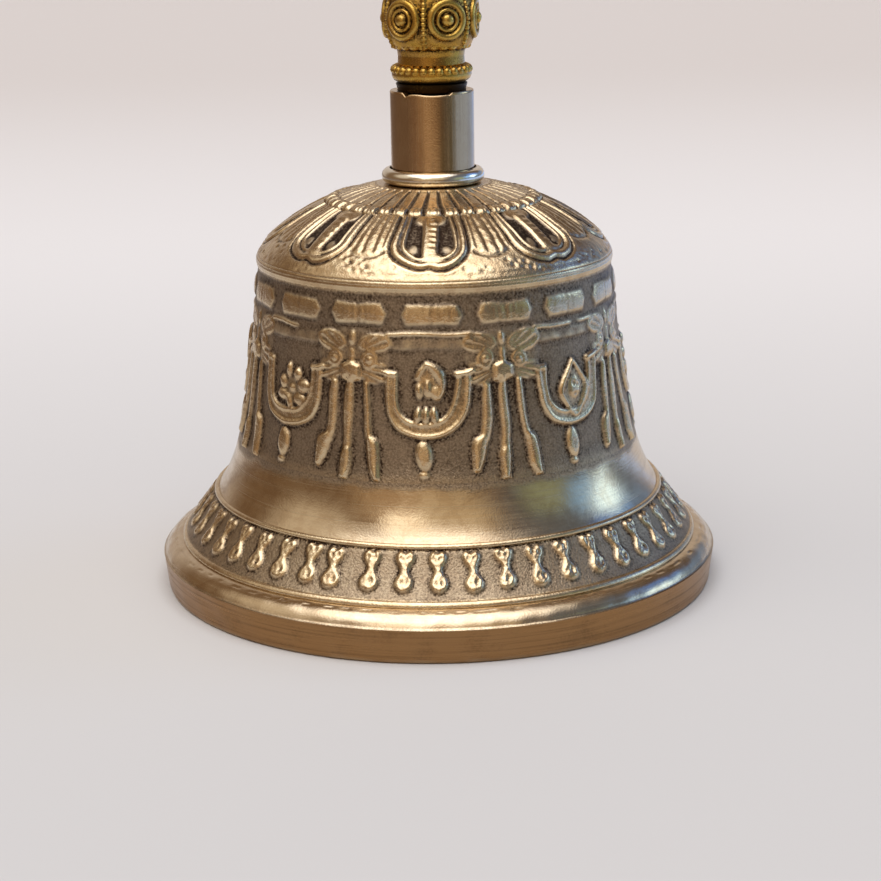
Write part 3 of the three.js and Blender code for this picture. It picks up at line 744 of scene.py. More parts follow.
def petal_field(angle, run):
    """The shoulder's lotus: large petals with a broad rim, an inner rim and a raised tongue on a round
    foot between two small lobes, a border round each, and between them ribbed leaves that lie behind.
    run is the distance up the dome from its foot."""
    count = bpy.context.scene.bell_sizes.petals
    shift_x = 0.14 * wander(angle, run, 8.0, 21)
    y = run + 0.14 * wander(angle, run, 8.0, 22)
    local, _ = nearest_copy(angle, count, PETAL_TURN)
    side = local * PETAL_RADIUS + shift_x
    x = abs(side)
    depth = petal_depth(x, y)
    rim = plateau(0.66 - abs(depth - 0.74), 0.45)
    inner_rim = 0.8 * plateau(0.34 - abs(depth - 1.95), 0.3)
    crinkles = 1 - 0.3 * hump(side, 0.7, 0.9) * (0.5 + 0.5 * np.sin(y * 5.2)) * step_up(5.5, 6.5, y)
    within = most(
        cord(side, y, [(0.0, 4.6), (0.0, 7.0), (0.0, 9.5), (0.0, 12.0)], [1.35, 1.5, 1.6, 1.75], 0.95,
             smooth=3, flat=0.5) * crinkles,
        oval(x, y, (2.6, 5.8), (0.95, 1.25), 0.42, flat=0.6),
        oval(side, y, (0.2, 12.8), (3.4, 1.9), 0.62, flat=0.3),
    ) * step_up(1.9, 2.4, depth)
    foot = oval(side, y, (0.35, 4.15), (1.9, 1.15), 1.0, flat=0.9)
    border = 0.75 * plateau(0.42 - abs(depth + 0.62), 0.4)
    pits = step_up(0.9, 1.25, wander(angle, run, 1.2, 25, PETAL_RADIUS, 10)) * step_up(6.0, 4.0, y)
    apron = (0.66 - 0.4 * pits) * step_up(6.8, 4.8, y) * (depth < -0.2)
    local, _ = nearest_copy(angle, count, PETAL_TURN + math.pi / count)
    x = abs(local * PETAL_RADIUS + shift_x)
    behind = np.where(y > 7.2, 3.1 - x, 2.7 - np.hypot(np.maximum(x - 0.4, 0), y - 7.2))
    ribs = most(hump(x, 0.8, 0.2), 0.9 * hump(x, 2.1, 0.2))
    leaf = 0.85 * plateau(behind, 0.45) * (1 - 0.45 * ribs)
    edge = 0.3 * hump(behind, -0.2, 0.2)
    total = most(rim, inner_rim, within, foot, border, np.maximum(apron - edge, 0), leaf)
    rough = 0.045 + 0.05 * step_up(3.5, 1.0, y) + 0.04 * step_up(0.3, 0.8, behind)
    return PETAL_RISE * (total + rough * cast_skin(angle, run, 23, PETAL_RADIUS))


def fine_petals(angle, run):
    """The ring of narrow petals round the collar: separately rounded bright tips, flat backs, and
    slits between them. run is the distance inwards from the tips."""
    count = bpy.context.scene.bell_sizes.fine_petals
    shift = 0.008 * wander(angle, run, 9.0, 31, around=12.0)
    local, number = nearest_copy(angle + shift, count)
    across = np.clip(abs(local) / (math.pi / count), 0, 1)
    place = run - 0.6 * (1 - np.sqrt(1 - across ** 2)) - 0.12 * np.sin(number * 4.3)
    split = 1 - 0.95 * step_up(0.6, 0.94, across)
    tip = 0.62 * plateau(1.15 - abs(place - 1.2), 1.0) * (0.25 + 0.75 * split)
    wrinkles = 0.06 * np.sin(across * 9 + number * 2) * step_up(0.1, 0.4, tip)
    back = 0.3 * step_up(1.8, 2.5, place) * split
    return most(tip + wrinkles, back) + 0.03 * cast_skin(angle, run, 33, 16.0)


# Materials


def plug(tree, target, inputs):
    """Sets a node's inputs. Each is a value, or a node and the output that it is linked to."""
    for key, value in inputs.items():
        if isinstance(value, tuple) and isinstance(value[0], bpy.types.Node):
            tree.links.new(value[0].outputs[value[1]], target.inputs[key])
        else:
            target.inputs[key].default_value = value


def node(tree, kind, inputs=None, **settings):
    """Adds one node with its settings and inputs."""
    made = tree.nodes.new(kind)
    for key, value in settings.items():
        setattr(made, key, value)
    plug(tree, made, inputs or {})
    return made


# Common nodes, each given back with its output, ready to plug into another


def maths(tree, operation, *values, clamp=False):
    """A Math node over one, two or three values."""
    return node(tree, "ShaderNodeMath", dict(enumerate(values)), operation=operation, use_clamp=clamp), 0


def ramp(tree, value, start, end, low, high, kind="LINEAR"):
    """A value that goes from low to high while another goes from start to end."""
    inputs = {"Value": value, "From Min": start, "From Max": end, "To Min": low, "To Max": high}
    return node(tree, "ShaderNodeMapRange", inputs, interpolation_type=kind), 0


def fade(tree, value, start, end, high=1.0):
    """A ramp up from 0 with soft ends."""
    return ramp(tree, value, start, end, 0.0, high, "SMOOTHSTEP")


def blend(tree, share, below, above):
    """A colour laid over another by a share. 6, 7 and 2 are the Mix node's colour sockets."""
    return node(tree, "ShaderNodeMix", {0: share, 6: below, 7: above}, data_type="RGBA"), 2


def noise(tree, where, scale, detail, roughness=0.5, distortion=0.0):
    """Smooth noise with so many waves a metre."""
    inputs = {"Vector": where, "Scale": scale, "Detail": detail, "Roughness": roughness,
              "Distortion": distortion}
    return node(tree, "ShaderNodeTexNoise", inputs), "Fac"


def drawn_noise(tree, where, lines, detail):
    """Noise drawn out into marks. lines is how many there are in a metre along X, Y and Z."""
    drawn = node(tree, "ShaderNodeMapping", {"Vector": where, "Scale": lines})
    return noise(tree, (drawn, 0), 1.0, detail, 0.7)


def new_material(name):
    """An empty node material and its tree, with the Principled shader on its output."""
    material = bpy.data.materials.new(name)
    material.use_nodes = True
    tree = material.node_tree
    tree.nodes.clear()
    shader = node(tree, "ShaderNodeBsdfPrincipled")
    node(tree, "ShaderNodeOutputMaterial", {"Surface": (shader, "BSDF")})
    return material, tree, shader


def colour_of(name):
    """A metal's colour from the panel, as a plain tuple."""
    return tuple(getattr(bpy.context.scene.bell_colours, name))


CLOUDS = 160.0  # waves in a metre of the wide clouds and of the brown blotches
BLOTCHES = 330.0
STREAK_SHARE = 0.5  # the darker streaks are this much coarser than the marks themselves
GROUND_COVER = 0.85  # how far the matted ground takes its own colour, and how rough it is
GROUND_ROUGHNESS = 0.48
GRAIN_DEPTH = 0.12 * MM


def worn_metal(name, dark, middle, bright, smooth, rough, wear=1.0, tarnish=0.0, grain=0.32, matt=0.2,
               flecked=1.0, rasp=(0.3, 0.8), stain=0.0, clouds=0.7, lines=None, line_depth=0.01, streaks=0.0):
    """A cast metal with patina and painted shade in its hollows, and bright rubbed edges that are also
    painted highlights. The hollow, edge and ground marks place them, broken up by clouds of a few
    millimetres. matt is how far the ground turns to the patina's colour and flecked how unevenly, grain the
    size of its grains in millimetres, rasp the strength of its grain on the relief and on the ground, clouds
    the strength of its wide patches and stain how far brown blotches cover it. lines is the scale of brush or
    lathe marks along X, Y and Z, in marks per metre, and streaks how far they also darken it."""
    material, tree, shader = new_material(name)
    where = node(tree, "ShaderNodeTexCoord"), "Object"
    hollow, edge, ground = ((node(tree, "ShaderNodeAttribute", attribute_name=mark), "Fac")
                            for mark in ("hollow", "edge", "ground"))
    cloud = noise(tree, where, CLOUDS, 5.0, 0.6)
    blotch = noise(tree, where, BLOTCHES, 4.0, 0.65, 0.6)
    speck = noise(tree, where, 1 / (grain * MM), 2.0, 0.6)

    # Patina: in hollows, where it also paints their shade, broken by specks, and on the ground, with clouds
    # and flecks over both
    broken = ramp(tree, speck, 0.38, 0.58, 0.5 * wear, 1.9 * wear)
    # The hollows' dark patina, which also paints the shade in the creases
    crease_patina_and_shade = maths(tree, "MULTIPLY", hollow, broken, clamp=True)
    sunk = maths(tree, "MULTIPLY_ADD", ground, matt, crease_patina_and_shade)
    mottle = maths(tree, "MULTIPLY_ADD", cloud, clouds, tarnish - clouds / 2)
    flecks = maths(tree, "MULTIPLY_ADD", speck, 2.2, -1.1)
    loose = maths(tree, "MULTIPLY", flecks, ramp(tree, ground, 0, 1, 0.35 * wear, flecked))
    patina = maths(tree, "ADD", maths(tree, "ADD", sunk, mottle), loose, clamp=True)
    if streaks:
        drawn = drawn_noise(tree, where, tuple(STREAK_SHARE * scale for scale in lines), 5.0)
        streaky = maths(tree, "MULTIPLY_ADD", drawn, streaks, -streaks / 2)
        patina = maths(tree, "ADD", patina, streaky, clamp=True)

    # Colour: brown blotches, then the ground, the patina with its painted shade and the rubbed edges with
    # their painted highlight over them
    matted = maths(tree, "MULTIPLY", ground, GROUND_COVER, clamp=True)
    colour = blend(tree, fade(tree, blotch, 0.4, 0.62, stain), middle, colour_of("bronze_tanned"))
    colour = blend(tree, matted, colour, colour_of("bronze_ground"))
    colour = blend(tree, patina, colour, dark)
    # The rubbed edges' bright metal, which also paints a highlight on the relief's edges
    handling = ramp(tree, cloud, 0.38, 0.62, 0.12 * wear, 0.6 * wear)
    colour = blend(tree, maths(tree, "MULTIPLY", edge, handling, clamp=True), colour, bright)

    # Surface: duller with patina and on the ground, with fine grain and drawn marks
    dull = ramp(tree, patina, 0, 1, smooth, rough)
    dull = node(tree, "ShaderNodeMix", {0: matted, 2: dull, 3: GROUND_ROUGHNESS}), 0
    grit = ramp(tree, ground, 0, 1, *rasp)
    bump = node(tree, "ShaderNodeBump", {"Height": speck, "Strength": grit, "Distance": GRAIN_DEPTH}), 0
    if lines:
        marks = drawn_noise(tree, where, lines, 4.0)
        bump = node(tree, "ShaderNodeBump", {"Height": marks, "Strength": 0.8, "Distance": line_depth * MM,
                                             "Normal": bump}), 0
        dull = maths(tree, "ADD", dull, maths(tree, "MULTIPLY_ADD", marks, 0.4, -0.2), clamp=True)
    plug(tree, shader, {"Base Color": colour, "Roughness": dull, "Normal": bump, "Metallic": 1.0})
    return material


# The metals: the material's name, its colours in recesses (patina and painted shade), between them and on
# rubbed edges (wear and painted highlight), its roughness where it is bright and where it is dull, and the
# further settings of worn_metal
METALS = {
    # Sand cast bell metal, antiqued with brown patina and rubbed back: dark creases that are partly painted
    # shade, bright edges that are partly painted highlight, pitted relief
    "cast": ("cast_bell_metal_antiqued", ("bronze_patina_and_shade", "bronze_cast", "bronze_rubbed_and_highlight"), 0.24, 0.46,
             {"flecked": 0.75, "rasp": (0.4, 0.8), "stain": 0.4}),
    # The same metal on the shoulder, where black patina fills the petals and shines from handling
    "petals": ("cast_bell_metal_handled", ("bronze_patina_and_shade", "bronze_cast", "bronze_rubbed_and_highlight"), 0.24, 0.4,
               {"flecked": 0.4, "rasp": (0.4, 0.3), "stain": 0.4}),
    # Turned on a lathe and polished: fine rings round the bell that stretch its highlights
    "turned": ("bell_metal_lathe_turned", ("bronze_patina_and_shade", "bronze", "bronze_rubbed_and_highlight"), 0.2, 0.36,
               {"wear": 0.5, "rasp": (0.15, 0.8), "stain": 0.25, "clouds": 0.25, "lines": (25, 25, 3500),
                "line_depth": 0.006, "streaks": 0.3}),
    # The collar, polished with the bell in the lathe: nearly white where it mirrors light
    "polished": ("bell_metal_polished", ("bronze_patina_and_shade", "bronze_polished", "bronze_polished"), 0.17, 0.34,
                 {"wear": 0.5, "rasp": (0.1, 0.8), "stain": 0.1, "clouds": 0.2}),
    # The lip's turned band, handled until it tanned brown: fine rings round the bell
    "tanned": ("bell_metal_tanned_lip", ("bronze_patina_and_shade", "bronze_tanned", "bronze"), 0.32, 0.5,
               {"wear": 0.6, "rasp": (0.3, 0.3), "clouds": 1.1, "lines": (50, 50, 3600),
                "line_depth": 0.02, "streaks": 1.9}),
    # A tube drawn and brushed along its length: upright hairlines
    "brushed": ("bronze_tube_brushed", ("bronze_patina_and_shade", "tube", "bronze"), 0.2, 0.4,
                {"wear": 0.6, "rasp": (0.1, 0.3), "stain": 0.2, "clouds": 0.35, "lines": (3200, 3200, 40),
                 "line_depth": 0.012, "streaks": 0.7}),
    # The bell's inside as it left the mould: browner and rougher than the outside
    "inside": ("bell_metal_as_cast", ("bronze_patina_and_shade", "bronze", "bronze"), 0.42, 0.62,
               {"tarnish": 0.4, "grain": 0.8}),
    # Lost wax cast yellow brass: golden on its relief, with brown tarnish and painted shade in its hollows
    "brass": ("yellow_brass_lost_wax", ("brass_tarnish_and_shade", "brass", "brass_rubbed_and_highlight"), 0.27, 0.46,
              {"wear": 1.15, "grain": 0.3, "rasp": (0.3, 0.5), "tarnish": 0.08, "stain": 0.4}),
    # Forged iron, oiled: dark grey scale with a dull shine; the scale's colour in its hollows is also painted
    # shade
    "iron": ("iron_forged_oiled", ("iron_scale_and_shade", "iron", "iron_rubbed_and_highlight"), 0.42, 0.65, {"grain": 0.6}),
}


def metal(kind):
    """One of the metals, made when a piece first asks for it."""
    name, colours, smooth, rough, settings = METALS[kind]
    made = bpy.data.materials.get(name)
    return made or worn_metal(name, *[colour_of(colour) for colour in colours], smooth, rough, **settings)


def poured_pitch():
    """Black pitch, poured hot: glossy where it set smooth and dull where it is chipped."""
    material, tree, shader = new_material("pitch_poured")
    lumps = noise(tree, (node(tree, "ShaderNodeTexCoord"), "Object"), 900.0, 4.0)
    bump = node(tree, "ShaderNodeBump", {"Height": lumps, "Strength": 0.6, "Distance": 0.2 * MM}), 0
    plug(tree, shader, {"Base Color": colour_of("pitch"), "Roughness": ramp(tree, lumps, 0, 1, 0.3, 0.75),
                        "Normal": bump})
    return material


# The table, in metres from the bell's axis
TABLE_REACH = {"front": 0.5, "back": 3.0, "side": 2.0}
FLOOR_REACH = 20.0
TABLE_SIDES = 96
TABLE_HOLE = (MOUTH_RADIUS - LIP_TAPER - 0.6) * MM  # the lip's flat foot stands just outside it
# Its paint, with painted shade, in metres along Y: from the darker near colour to the far one, and from that
# to the dimmer back's
NEAR_TO_FAR = (-0.05, 0.35)
FAR_TO_BACK = (0.2, 0.9)
# Where the lit table ends for what the bell mirrors, at the sides and in front
LIT_ASIDE = (0.13, 0.3)
LIT_IN_FRONT = (-0.14, -0.3)
# Painted light and shade of the mirrored floor beyond, by the angle from the front to the right, from the
# back's colour on
PAINTED_FLOOR_LIGHT = (
    (-1.3, -0.7, "floor_left"), (-0.5, -0.2, "floor_front"), (0.1, 0.5, "floor_aside"),
    (0.9, 1.3, "floor_right"),
)


def table_paint():
    """Pale matt table paint, with painted shade: darker in front of the bell and at its far end than behind
    it. Beyond the lit table, what the bell's own metal mirrors is painted light and shade: the dim, lit and
    daylit floor of the room. From below, the camera looks through it."""
    studio = bpy.context.scene.studio
    material, tree, shader = new_material("studio_pale_table")
    place = node(tree, "ShaderNodeSeparateXYZ", {"Vector": (node(tree, "ShaderNodeTexCoord"), "Object")})
    x, y = (place, "X"), (place, "Y")
    ray = node(tree, "ShaderNodeLightPath")
    # Painted shade: the table is darker in front of the bell and at its far end
    colour = blend(tree, fade(tree, y, *NEAR_TO_FAR), tuple(studio.table_near), tuple(studio.table_far))
    colour = blend(tree, fade(tree, y, *FAR_TO_BACK), colour, tuple(studio.table_back))
    beyond = maths(tree, "MAXIMUM", fade(tree, maths(tree, "ABSOLUTE", x), *LIT_ASIDE),
                   fade(tree, y, *LIT_IN_FRONT))
    around = maths(tree, "ARCTAN2", x, maths(tree, "MULTIPLY", y, -1.0))
    floor = tuple(studio.floor_back)
    for start, end, band in PAINTED_FLOOR_LIGHT:
        floor = blend(tree, fade(tree, around, start, end), floor, tuple(getattr(studio, band)))
    # Painted light and shade: glossy rays beyond the lit table see the floor's lit, daylit and dim bands in
    # place of the table's colour
    colour = blend(tree, maths(tree, "MULTIPLY", beyond, (ray, "Is Glossy Ray")), colour, floor)
    plug(tree, shader, {"Base Color": colour, "Roughness": 0.7, "Specular IOR Level": 0.1})
    face = node(tree, "ShaderNodeNewGeometry")
    under = maths(tree, "MULTIPLY", (face, "Backfacing"), (ray, "Is Camera Ray"))
    clear = node(tree, "ShaderNodeBsdfTransparent")
    shown = node(tree, "ShaderNodeMixShader", {0: under, 1: (shader, 0), 2: (clear, 0)})
    plug(tree, shader.outputs[0].links[0].to_node, {"Surface": (shown, 0)})
    return material


# The room, each part laid over those before it: the direction of its middle, the cosines where it
# starts and is full, and its light, as a setting's name or as linear red, green and blue
ROOM = (
    ((-1, 0, 0), 0.2, 0.8, "room_left"),
    ((1, 0, 0), 0.2, 0.8, "room_right"),
    ((0, 1, 0), 0.55, 0.85, "room_back"),
    ((-0.35, -0.91, 0.2), 0.82, 0.99, (0.58, 0.42, 0.27)),  # lamp-lit wall, front left
    ((-0.73, -0.13, 0.67), 0.84, 0.99, (0.85, 0.76, 0.64)),  # glow under the ceiling, left
    ((0.1, -0.82, 0.57), 0.87, 0.99, (0.78, 0.65, 0.47)),  # glow under the ceiling, front
    ((0.86, -0.46, 0.22), 0.94, 0.995, (0.36, 0.43, 0.32)),  # greenery beside the window
    ((0.68, 0.66, 0.33), 0.93, 0.98, (0.20, 0.31, 0.55)),  # back wall that the window lights
    ((0.55, 0.6, 0.58), 0.94, 0.98, (0.16, 0.12, 0.09)),  # dark beam over the back wall
    ((0.837, 0.305, 0.454), 0.954, 0.988, (0.20, 0.39, 1.08)),  # dusk blue above the window
    ((0, 0, -1), 0.5, 0.8, (0.9, 0.85, 0.8)),  # pale light from below, which only the mouth lets in
    ((-0.067, -0.25, 0.966), 0.75, 0.96, "ceiling"),
    ((-0.28, -0.77, 0.58), 0.972, 0.996, "lamp"),
)
# The window: its direction and cosines, the heights of view over which its sill and its head fade,
# and the direction and cosines of its bright middle
WINDOW = ((0.985, 0.13, 0.28), 0.91, 0.97)
WINDOW_SILL = (0.1, 0.2)
WINDOW_HEAD = (0.47, 0.36)
WINDOW_CORE = ((0.94, 0.22, 0.25), 0.972, 0.995)


# Pieces


def rectangle(angle, front, back, side):
    """Points on a rectangle's edge in metres, where a line at each angle from the axis meets it."""
    x, y = np.sin(angle), -np.cos(angle)
    ahead = np.where(y < 0, front, back)
    away = np.minimum(side / np.maximum(abs(x), 1e-9), ahead / np.maximum(abs(y), 1e-9))
    return np.stack([away * x, away * y], 1)


class HANDBELL_OT_stage(bpy.types.Operator):
    """Adds the camera, the pale table and the room that lights the bell."""

    bl_idname = "handbell.stage"
    bl_label = "Stage"

    def execute(self, context):
        studio = context.scene.studio
        self.camera(context, studio)
        self.table(context)
        self.room(context, studio)
        context.scene.view_settings.view_transform = "Standard"
        return {"FINISHED"}

    def camera(self, context, studio):
        """A camera in front of the bell, looking along +Y, down by the pitch and leaning by the roll."""
        data = bpy.data.cameras.new("camera")
        data.sensor_width = 36.0
        data.lens = studio.lens
        data.clip_start = 0.01
        camera = bpy.data.objects.new("camera", data)
        place = Matrix.Translation((studio.aside, -studio.distance, studio.height))
        look = Matrix.Rotation(math.pi / 2 - studio.pitch, 4, "X")
        camera.matrix_world = place @ look @ Matrix.Rotation(-studio.roll, 4, "Z")
        context.scene.collection.objects.link(camera)
        context.scene.camera = camera

    def table(self, context):
        """A wide table with a hole under the bell's mouth, which lets the inside be lit and seen from
        below. The floor round the table is there for the camera alone: the bell mirrors the room."""
        material = table_paint()
        angle = angles(TABLE_SIDES)[0]
        hole = TABLE_HOLE * np.stack([np.sin(angle), -np.cos(angle)], 1)
        edge = rectangle(angle, **TABLE_REACH)
        self.flat_ring(context, "table", hole, edge, material)
        far = rectangle(angle, FLOOR_REACH, FLOOR_REACH, FLOOR_REACH)
        floor = self.flat_ring(context, "floor_beyond", edge, far, material)
        floor.visible_diffuse = floor.visible_glossy = floor.visible_shadow = False

    def flat_ring(self, context, name, inner, outer, material):
        """A flat ring on the ground between two closed outlines with as many points each."""
        corner = np.arange(TABLE_SIDES)
        beside = (corner + 1) % TABLE_SIDES
        faces = np.stack([corner, TABLE_SIDES + corner, TABLE_SIDES + beside, beside], 1)
        points = np.pad(np.concatenate([inner, outer]), ((0, 0), (0, 1)))
        mesh = bpy.data.meshes.new(name)
        mesh.from_pydata(points.tolist(), [], faces.tolist())
        mesh.materials.append(material)
        ring = bpy.data.objects.new(name, mesh)
        context.scene.collection.objects.link(ring)
        return ring

    def room(self, context, studio):
        """The room as a world: the parts of ROOM from dim walls to the ceiling and its lamp, then the
        cool window at the right. The camera sees plain table colour in its place."""
        world = bpy.data.worlds.new("room")
        world.use_nodes = True
        tree = world.node_tree
        tree.nodes.clear()
        view = node(tree, "ShaderNodeTexCoord"), "Generated"
        height = node(tree, "ShaderNodeSeparateXYZ", {"Vector": view}), "Z"

        def towards(direction, low, high):
            """0 to 1 as the view turns towards a direction, between two cosines."""
            unit = np.array(direction) / np.linalg.norm(direction)
            turned_to = node(tree, "ShaderNodeVectorMath", {0: view, 1: unit.tolist()},
                             operation="DOT_PRODUCT")
            return fade(tree, (turned_to, "Value"), low, high)

        light = tuple(studio.room_front)
        for direction, low, high, colour in ROOM:
            colour = tuple(getattr(studio, colour)) if isinstance(colour, str) else (*colour, 1.0)
            light = blend(tree, towards(direction, low, high), light, colour)
        pane = maths(tree, "MULTIPLY", fade(tree, height, *WINDOW_SILL), fade(tree, height, *WINDOW_HEAD))
        pane = maths(tree, "MULTIPLY", pane, towards(*WINDOW))
        light = blend(tree, pane, light, tuple(studio.window))
        light = blend(tree, towards(*WINDOW_CORE), light, tuple(studio.window_core))
        seen = node(tree, "ShaderNodeLightPath"), "Is Camera Ray"
        light = blend(tree, seen, light, tuple(studio.table_far))
        background = node(tree, "ShaderNodeBackground", {"Color": light, "Strength": 1.0})
        node(tree, "ShaderNodeOutputWorld", {"Surface": (background, 0)})
        context.scene.world = world


def columns_for(context, radius, multiple=48):
    """How many columns give the wanted mesh step at a radius, as a multiple of the ornament's count."""
    step = context.scene.bell_sizes.mesh_step / MM
    return max(1, round(TURN * radius / step / multiple)) * multiple


def back_of(line, depth=SKIN):
    """The plain outline behind an outline, a skin's thickness inside it, from top to bottom."""
    few = line[np.linspace(0, len(line) - 1, 7).astype(int)]
    return (few - depth * outward(few))[::-1]


class HANDBELL_OT_lip(bpy.types.Operator):
    """Adds the lip: a brushed band with a sharp upper corner, and the polished slope above it."""

    bl_idname = "handbell.lip"
    bl_label = "Lip"

    def execute(self, context):
        foot = MOUTH_RADIUS - LIP_TAPER
        corner = np.array([MOUTH_RADIUS, LIP_HEIGHT])
        columns = columns_for(context, radius=44) // 2

        def uneven(angle, run, height):
            waves = 0.03 * wander(angle, run, 7.0, 41, around=43)
            return waves * step_up(0, 1, height) * step_up(5.4, 5.0, height)

        band = line_through((foot - LIP_WALL, 0), (foot - 0.5, 0),
                            ridge_line((foot - 0.5, 0), (foot, 0.5), 0.1, 6), corner - (0.06, 0.45), corner)
        behind = line_through(corner - (1.5, 0.6), bow_line(INNER_CORNER, (foot - LIP_WALL, 0), 0.1)[:-1])
        piece = carved_ring("bell_lip", band, behind, uneven, columns, 0.24)
        placed(piece, metal("tanned"), "bell", "cast_bronze", "bell_body")

        def dented(angle, run, height):
            groove = 0.10 * hump(run - length + 1.1 + 0.1 * wander(angle, 0, 9.0, 43), 0, 0.16)
            broken = step_up(-0.1, 0.5, wander(angle, run, 2.2, 42, around=43))
            return (0.02 * wander(angle, run, 5.0, 44, around=43) - groove * broken) * step_up(
                0, 0.5, run) * step_up(length, length - 0.3, run)

        slope = line_through(corner, corner + (-0.14, 0.06),
                             bow_line(corner + (-0.3, 0.2), FRIEZE_FOOT, LIP_SWELL * 0.9))
        length = even(slope, 0.1)[1][-1]
        piece = carved_ring("bell_lip_slope", slope, back_of(slope), dented, columns, 0.2)
        placed(piece, metal("turned"), "bell", "cast_bronze", "bell_body")
        return {"FINISHED"}


class HANDBELL_OT_frieze(bpy.types.Operator):
    """Adds the frieze: upright vajras on a matted ground between two polished beads."""

    bl_idname = "handbell.frieze"
    bl_label = "Frieze"

    def execute(self, context):
        along = (FRIEZE_TOP - FRIEZE_FOOT) / np.linalg.norm(FRIEZE_TOP - FRIEZE_FOOT)
        low = FRIEZE_FOOT + along * BEAD_WIDTH
        high = FRIEZE_TOP - along * BEAD_WIDTH
        line = line_through(
            ridge_line(FRIEZE_FOOT, low, BEAD_RISE * 0.6), bow_line(low, high, -FRIEZE_HOLLOW),
            ridge_line(high, FRIEZE_TOP, BEAD_RISE))
        length = even(line, 0.1)[1][-1]
        ground_foot, ground_top = BEAD_WIDTH + 0.05, length - BEAD_WIDTH - 0.35
        waist = ground_foot + VAJRA_WAIST * (ground_top - ground_foot)
        count = context.scene.bell_sizes.vajras

        def relief(angle, run, height):
            inside = step_up(ground_foot, ground_foot + 0.4, run) * step_up(ground_top, ground_top - 0.4, run)
            local, number = nearest_copy(angle, count, FRIEZE_TURN)
            x = local * FRIEZE_RADIUS + 0.12 * wander(angle, run, 5.0, 51, around=FRIEZE_RADIUS)
            x = x + 0.06 * np.sin(number * 5.1)
            x = x + 1.1 * (number == count - 3)  # one vajra was set askew in the wax
            y = (run - waist + 0.12 * np.sin(number * 2.4)) * 1.03
            carved = softened(vajra(x, y, number, FRIEZE_RISE), 1, 1)
            crease = 0.1 * hump(run, ground_top, 0.3)
            lumps = (0.012 + 0.03 * step_up(0.1, 0.3, carved)) * cast_skin(angle, run, 52, FRIEZE_RADIUS)
            return (carved + lumps) * inside - crease

        def between_beads(angle, height):
            return 0.85 * step_up(low[1], low[1] + 0.3, height) * step_up(high[1], high[1] - 0.3, height)

        piece = carved_ring("bell_frieze", line, back_of(line), relief,
                            columns_for(context, radius=37, multiple=count), 0.18,
                            matted=between_beads, broad=0.35)
        placed(piece, metal("cast"), "bell", "cast_bronze", "bell_body")
        return {"FINISHED"}


class HANDBELL_OT_skirt(bpy.types.Operator):
    """Adds the polished skirt between the frieze and the garland."""

    bl_idname = "handbell.skirt"
    bl_label = "Skirt"

    def execute(self, context):
        line = wall_line(FRIEZE_TOP[1], SKIRT_TOP)

        def relief(angle, run, height):
            waves = 0.03 * wander(angle, height, 9.0, 61, around=33)
            low, high = FRIEZE_TOP[1], SKIRT_TOP
            return waves * step_up(low, low + 1.5, height) * step_up(high, high - 2, height)

        def fading(angle, height):
            edge = SKIRT_TOP - 0.6 + 0.25 * wander(angle, height, 5.0, 63, around=33)
            return step_up(edge - 0.9, edge + 0.5, height)

        piece = carved_ring("bell_skirt", line, back_of(line), relief,
                            columns_for(context, radius=33) // 2, 0.3, matted=fading)
        placed(piece, metal("turned"), "bell", "cast_bronze", "bell_body")
        return {"FINISHED"}


class HANDBELL_OT_garland(bpy.types.Operator):
    """Adds the wall's garland in two rings: masks, tassels and loops on a matted ground."""

    bl_idname = "handbell.garland"
    bl_label = "Garland"

    def execute(self, context):
        columns = columns_for(context, GARLAND_RADIUS)

        def relief(angle, run, height):
            rises = step_up(SKIRT_TOP, SKIRT_TOP + 0.25, height)
            sink = GARLAND_SINK * step_up(SKIRT_TOP, SKIRT_TOP + 3, height)
            return softened(garland(angle, height), 1, 1) * rises - sink

        for name, bottom, top in (("bell_garland_lower", SKIRT_TOP, GARLAND_SPLIT),
                                  ("bell_garland_upper", GARLAND_SPLIT, BAND_FOOT)):
            line = wall_line(bottom, top)
            piece = carved_ring(name, line, back_of(line), relief, columns, 0.155, matted=1.15,
                                sink=GARLAND_SINK, fine=0.42, broad=0.43)
            placed(piece, metal("cast"), "bell", "cast_bronze", "bell_body")
        return {"FINISHED"}


class HANDBELL_OT_bar_band(bpy.types.Operator):
    """Adds the band of lying vajra bars and the bright ridge of the shoulder."""

    bl_idname = "handbell.bar_band"
    bl_label = "Bar Band"

    def execute(self, context):
        ridge_top = SHOULDER + (0, SHOULDER_RIDGE)
        line = line_through(wall_line(BAND_FOOT, SHOULDER[1] - 0.2),
                            ridge_line(SHOULDER, ridge_top, SHOULDER_RIDGE_RISE))
        count = context.scene.bell_sizes.bars

        def relief(angle, run, height):
            local, _ = nearest_copy(angle, count, BAR_TURN)
            x = local * GARLAND_RADIUS + 0.15 * wander(angle, height, 7.0, 81)
            y = height - BAR_HEIGHT + 0.1 * wander(angle, height, 7.0, 82)
            carved = bar(x, y, BAR_RISE) + 0.03 * cast_skin(angle, height, 83)
            below = step_up(SHOULDER[1], SHOULDER[1] - 0.7, height)
            sink = BAND_SINK + (GARLAND_SINK - BAND_SINK) * step_up(BAND_FOOT + 1, BAND_FOOT, height)
            lines = 0.03 * np.sin((height - SHOULDER[1]) * TURN / 0.55)
            lines = lines * step_up(SHOULDER[1] + 0.1, SHOULDER[1] + 0.4, height)
            lines = lines * step_up(ridge_top[1], ridge_top[1] - 0.4, height)
            return (softened(carved, 1, 1) - sink) * below + lines

        def below_ridge(angle, height):
            return 1.3 * step_up(SHOULDER[1] + 0.05, SHOULDER[1] - 0.6, height)

        piece = carved_ring("bell_bar_band", line, back_of(line), relief,
                            columns_for(context, radius=28.6), 0.155, matted=below_ridge, sink=BAND_SINK,
                            fine=0.42, broad=0.4)
        placed(piece, metal("cast"), "bell", "cast_bronze", "bell_body")
        return {"FINISHED"}


